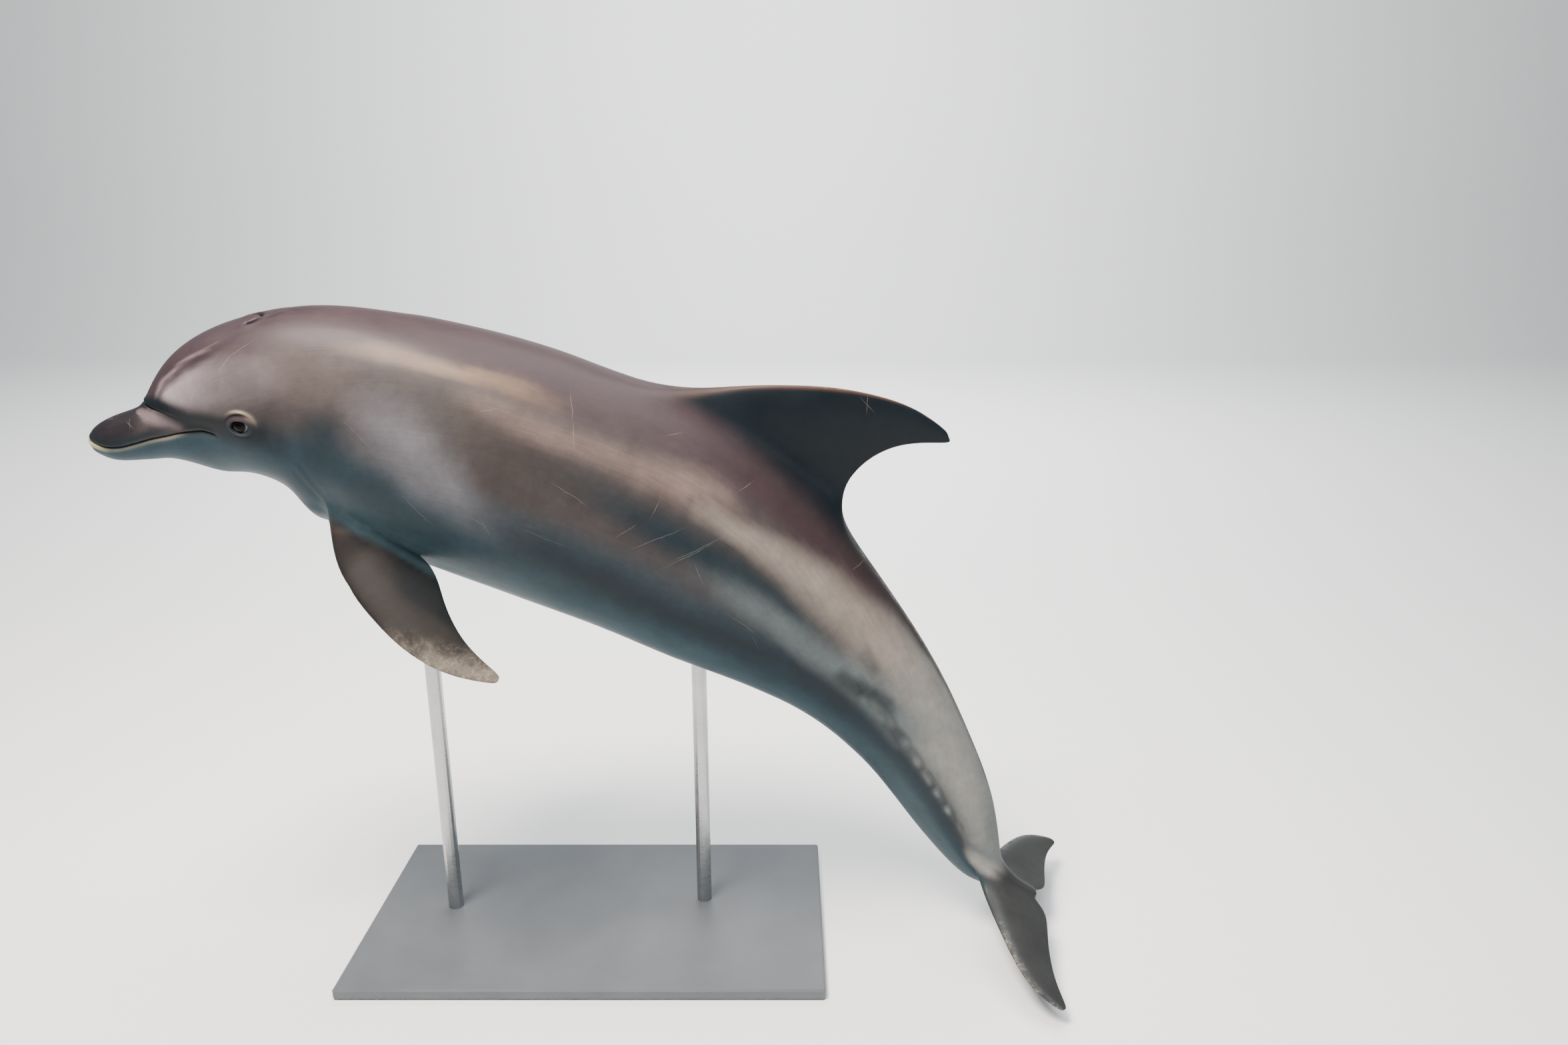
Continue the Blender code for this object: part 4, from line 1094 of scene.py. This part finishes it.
# scratches 1 to 2 mm wide, a little wavy and broken
swing = addNode(tree, "Math", (cloudy, 0.5), "SUBTRACT")[0]
wobble = addNode(tree, "Math", (mottle, 0.002), "MULTIPLY")[0]
wobble = addNode(tree, "Math", (swing, 0.012, wobble), "MULTIPLY_ADD")[0]
scratchMask = 0.0
for across, show in zip(acrossParts, showParts):
    off = addNode(tree, "Math", (across, wobble), "ADD")[0]
    off = addNode(tree, "Math", (off,), "ABSOLUTE")[0]
    line = addNode(tree, "MapRange", (off, 0.0001, 0.0010, 1.0, 0.0))[0]
    line = addNode(tree, "Math", (line, show), "MULTIPLY")[0]
    scratchMask = addNode(tree, "Math", (scratchMask, line), "MAXIMUM")[0]
broken = addNode(tree, "MapRange", (speckle, 0.35, 0.6, 0.35, 1.0))[0]
scratchMask = addNode(tree, "Math", (scratchMask, broken), "MULTIPLY", use_clamp=True)[0]

# pale scratches, worn marks on the blades' ends and dark spots near the rear of the belly
flakes, flakePatches, spotMarks, spotPatches = (addNode(tree, "MapRange", values)[0] for values in (
    (flaked, 0.42, 0.72, 0.0, 1.0), (mottle, 0.38, 0.62, 0.1, 1.0),
    (spotCells, 0.12, 0.22, 1.0, 0.0), (cloudy, 0.50, 0.60, 0.0, 1.0)))
for parts, tint in (
        ((scratchMask, 0.32), "#a0958d"),
        ((flakes, flakePatches, wornShare, 0.75), "#a0968a"),
        ((spotMarks, spotPatches, detailParts[2], 0.6), "#37464b")):
    share = 1.0
    for part in parts:
        share = addNode(tree, "Math", (share, part), "MULTIPLY")[0]
    lit = addNode(tree, "Mix", {0: share, 6: lit, 7: linearOf(tint)}, data_type="RGBA")[2]

sheen = addNode(tree, "MapRange", (cloudy, 0.3, 0.7, 0.45, 0.56))[0]
sheen = addNode(tree, "Math", (scratchMask, 0.15, sheen), "MULTIPLY_ADD")[0]
grainHeight = addNode(tree, "Math", (detailParts[1], 0.0003, 0.00003), "MULTIPLY_ADD")[0]
height = 0.0
for field, amount in ((fineStreaks, 0.0001), (streaks, 0.00025), (mottle, 0.0003), (speckle, grainHeight),
                      (scratchMask, -0.0003)):
    height = addNode(tree, "Math", (field, amount, height), "MULTIPLY_ADD")[0]
feed(tree, shader, {
    "Base Color": lit, "Roughness": sheen, "IOR": 1.40, "Specular IOR Level": 0.22,
    "Coat Weight": 0.05, "Coat Roughness": 0.25,
    "Normal": addNode(tree, "Bump", {"Height": height, "Distance": 1.0, "Strength": 0.7})[0],
})
skin.data.materials.clear()
skin.data.materials.append(skinMaterial)
print("skin coloured")

flesh = [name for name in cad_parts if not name.startswith(("stand_", "eye_"))]
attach(skin, "root")
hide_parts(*flesh)


def makeEye(side, name):
    centre, gaze, back, up = (np.array(v) for v in eyeFrames[side])
    deselectAll()
    bpy.ops.mesh.primitive_uv_sphere_add(segments=64, ring_count=40, radius=eye["radius"], location=(0, 0, 0))
    item = bpy.context.object
    item.name = item.data.name = name
    local = coordinates(item.data)
    setCoordinates(item.data, local @ np.stack((back, up, gaze)) + centre)
    for face in item.data.polygons:
        face.use_smooth = True
    addAttribute(item, "gaze", "FLOAT_VECTOR", local)
    useOnly(item)
    bpy.ops.object.mode_set(mode="EDIT")
    bpy.ops.mesh.select_all(action="SELECT")
    bpy.ops.mesh.normals_make_consistent(inside=False)
    bpy.ops.object.mode_set(mode="OBJECT")
    return item


# A wet eye: a clear glossy front over a near-black pupil, a dark brown iris and a pale rim.
eyeMaterial, tree, shader = newMaterial("wetEye")
gaze = addNode(tree, "Attribute", attribute_name="gaze")["Vector"]
fibre = addNode(tree, "TexNoise", {"Vector": gaze, "Scale": 900.0, "Detail": 3.0, "Roughness": 0.55})["Fac"]
gazeParts = addNode(tree, "SeparateXYZ", (gaze,))
aside = addNode(tree, "Math", (gazeParts[0], 0.0012), "ADD")[0]
rise = addNode(tree, "Math", (gazeParts[1], 0.0014), "SUBTRACT")[0]
flattened = addNode(tree, "Math", (rise, 1.35), "MULTIPLY")[0]
iris, pupil = (
    addNode(tree, "VectorMath", addNode(tree, "CombineXYZ", (aside, above)), "LENGTH")["Value"]
    for above in (rise, flattened))
offRim = addNode(tree, "Math", (iris, 0.0125), "SUBTRACT")[0]
offRim = addNode(tree, "Math", (offRim,), "ABSOLUTE")[0]
eyeColour = layered(tree, linearOf("#0c0807"), (
    (fibre, 0.35, 0.65, 0.0, 1.0, "#160f0c"),            # fibres of the iris
    (iris, 0.0122, 0.0134, 0.0, 1.0, "#71858a"),         # the rim outside it
    (offRim, 0.0004, 0.0014, 0.9, 0.0, "#15100d"),       # a dark line between them
    (pupil, 0.0074, 0.0084, 1.0, 0.0, "#030303"),
))
feed(tree, shader, {"Base Color": eyeColour, "Roughness": 0.07, "IOR": 1.37, "Specular IOR Level": 0.12})
for side, name, node in ((1, "eyeballLeft", "eye_left"), (-1, "eyeballRight", "eye_right")):
    item = makeEye(side, name)
    item.data.materials.append(eyeMaterial)
    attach(item, "root")
    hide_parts(node)
print("eyes made")

# Satin enamel on a steel plate: an even soft sheen with a faint orange-peel ripple.
enamel, tree, shader = newMaterial("satinGreyEnamel")
place = addNode(tree, "TexCoord")["Object"]
cloud, haze, ripple = (
    addNode(tree, "TexNoise", {"Vector": place, "Scale": scale, "Detail": detail, "Roughness": 0.55})["Fac"]
    for scale, detail in ((6.0, 3.0), (9.0, 4.0), (450.0, 2.0)))        # the last for ripples of about 2 mm
relief = addNode(tree, "Math", (ripple, 0.00006), "MULTIPLY")[0]
feed(tree, shader, {
    "Base Color": layered(tree, linearOf("#50555a"), ((cloud, 0.3, 0.7, 0.0, 1.0, "#595e63"),)),
    "Roughness": addNode(tree, "MapRange", (haze, 0.3, 0.7, 0.36, 0.46))[0],
    "Normal": addNode(tree, "Bump", {"Height": relief, "Distance": 1.0, "Strength": 0.6})[0],
})

# Brushed stainless steel: metal with fine marks round the rods that stretch the highlights.
steel, tree, shader = newMaterial("brushedSteel")
place = addNode(tree, "TexCoord")["Object"]
brushed = addNode(tree, "VectorMath", (place, (60.0, 60.0, 1400.0)), "MULTIPLY")[0]
marks, smudge = (          # the marks lie under a millimetre apart
    addNode(tree, "TexNoise", {"Vector": field, "Scale": scale, "Detail": 3.0, "Roughness": rough})["Fac"]
    for field, scale, rough in ((brushed, 1.0, 0.7), (place, 18.0, 0.55)))
grazed, smudged = (
    addNode(tree, "MapRange", values)[0]
    for values in ((marks, 0.3, 0.7, 0.22, 0.34), (smudge, 0.4, 0.7, 0.0, 0.08)))
relief = addNode(tree, "Math", (marks, 0.00004), "MULTIPLY")[0]
feed(tree, shader, {
    "Base Color": layered(tree, linearOf("#9fa2a4"), ((marks, 0.3, 0.7, 0.0, 1.0, "#b7b9ba"),)),
    "Metallic": 1.0,
    "Roughness": addNode(tree, "Math", (grazed, smudged), "ADD")[0],
    "Normal": addNode(tree, "Bump", {"Height": relief, "Distance": 1.0, "Strength": 0.5})[0],
})

for name, material in (("stand_base", enamel), ("stand_rod_front", steel), ("stand_rod_rear", steel)):
    for slot in bpy.data.objects[name].material_slots:
        slot.material = material
print("stand finished")

# Floor, lights and camera.
studioFloor = {"size": 24, "ahead": 1.0, "below": 0.0005, "wall": 7, "sweep": 2.5, "segments": 16}


def selectEdges(item, chosen):
    # selects the edges that have both ends in chosen places
    bpy.ops.mesh.select_all(action="DESELECT")
    shape = bmesh.from_edit_mesh(item.data)
    for edge in shape.edges:
        if all(chosen(v.co) for v in edge.verts):
            edge.select_set(True)
    bmesh.update_edit_mesh(item.data)


deselectAll()
bpy.ops.mesh.primitive_plane_add(
    size=studioFloor["size"], location=(0, studioFloor["ahead"], -studioFloor["below"]))
floor = bpy.context.object
floor.name = "floor"
bpy.ops.object.mode_set(mode="EDIT")
farEdge = studioFloor["size"] / 2 - 0.1      # in the plane's own coordinates
selectEdges(floor, lambda place: place.y > farEdge)
bpy.ops.mesh.extrude_region_move(TRANSFORM_OT_translate={"value": (0, 0, studioFloor["wall"])})
selectEdges(floor, lambda place: place.y > farEdge and abs(place.z) < 0.01)
bpy.ops.mesh.bevel(offset=studioFloor["sweep"], segments=studioFloor["segments"], affect="EDGES")
bpy.ops.object.mode_set(mode="OBJECT")
bpy.ops.object.shade_smooth()
floorMaterial, tree, shader = newMaterial("palePaper")
feed(tree, shader, {"Base Color": linearOf("#eceded"), "Roughness": 0.85})
floor.data.materials.append(floorMaterial)

studio = {
    "key": {"place": (-1.0, -1.2, 4.4), "aim": (-0.1, 0, 0.9), "size": 1.7, "power": 560, "colour": "#fff3e8"},
    "top": {"place": (0.9, 0.8, 4.2), "aim": (0.2, 0, 0.8), "size": 3.0, "power": 170, "colour": "#ffffff"},
    "fill": {"place": (2.6, -3.2, 2.0), "aim": (0.1, 0, 0.8), "size": 2.6, "power": 30, "colour": "#e2f0fa"},
    "backdrop": {"place": (0, 5, 6.5), "aim": (0, 10, 1.5), "size": 5.0, "power": 1500, "colour": "#ffffff"},
}
for name, light in studio.items():
    data = bpy.data.lights.new(name, "AREA")
    data.shape = "DISK"
    data.size = light["size"]
    data.energy = light["power"]
    data.color = linearOf(light["colour"])[:3]
    lamp = newObject(name, data)
    lamp.location = light["place"]
    lamp.rotation_euler = (Vector(light["aim"]) - lamp.location).to_track_quat("-Z", "Y").to_euler()

room = {"colour": "#e4ecf2", "strength": 0.42}
world = bpy.data.worlds.new("softRoom")
bpy.context.scene.world = world
world.use_nodes = True
background = world.node_tree.nodes["Background"]
feed(world.node_tree, background, {"Color": linearOf(room["colour"]), "Strength": room["strength"]})

view = {"place": (0.332, -2.110, 1.5755), "down": 16, "lens": 24, "sensor": 36, "near": 0.02}
cameraData = bpy.data.cameras.new("camera")
cameraData.lens = view["lens"]
cameraData.sensor_width = view["sensor"]
cameraData.clip_start = view["near"]
camera = newObject("camera", cameraData)
camera.location = view["place"]
camera.rotation_euler = (math.radians(90 - view["down"]), 0, 0)
bpy.context.scene.camera = camera
print("stage, lights and camera set")
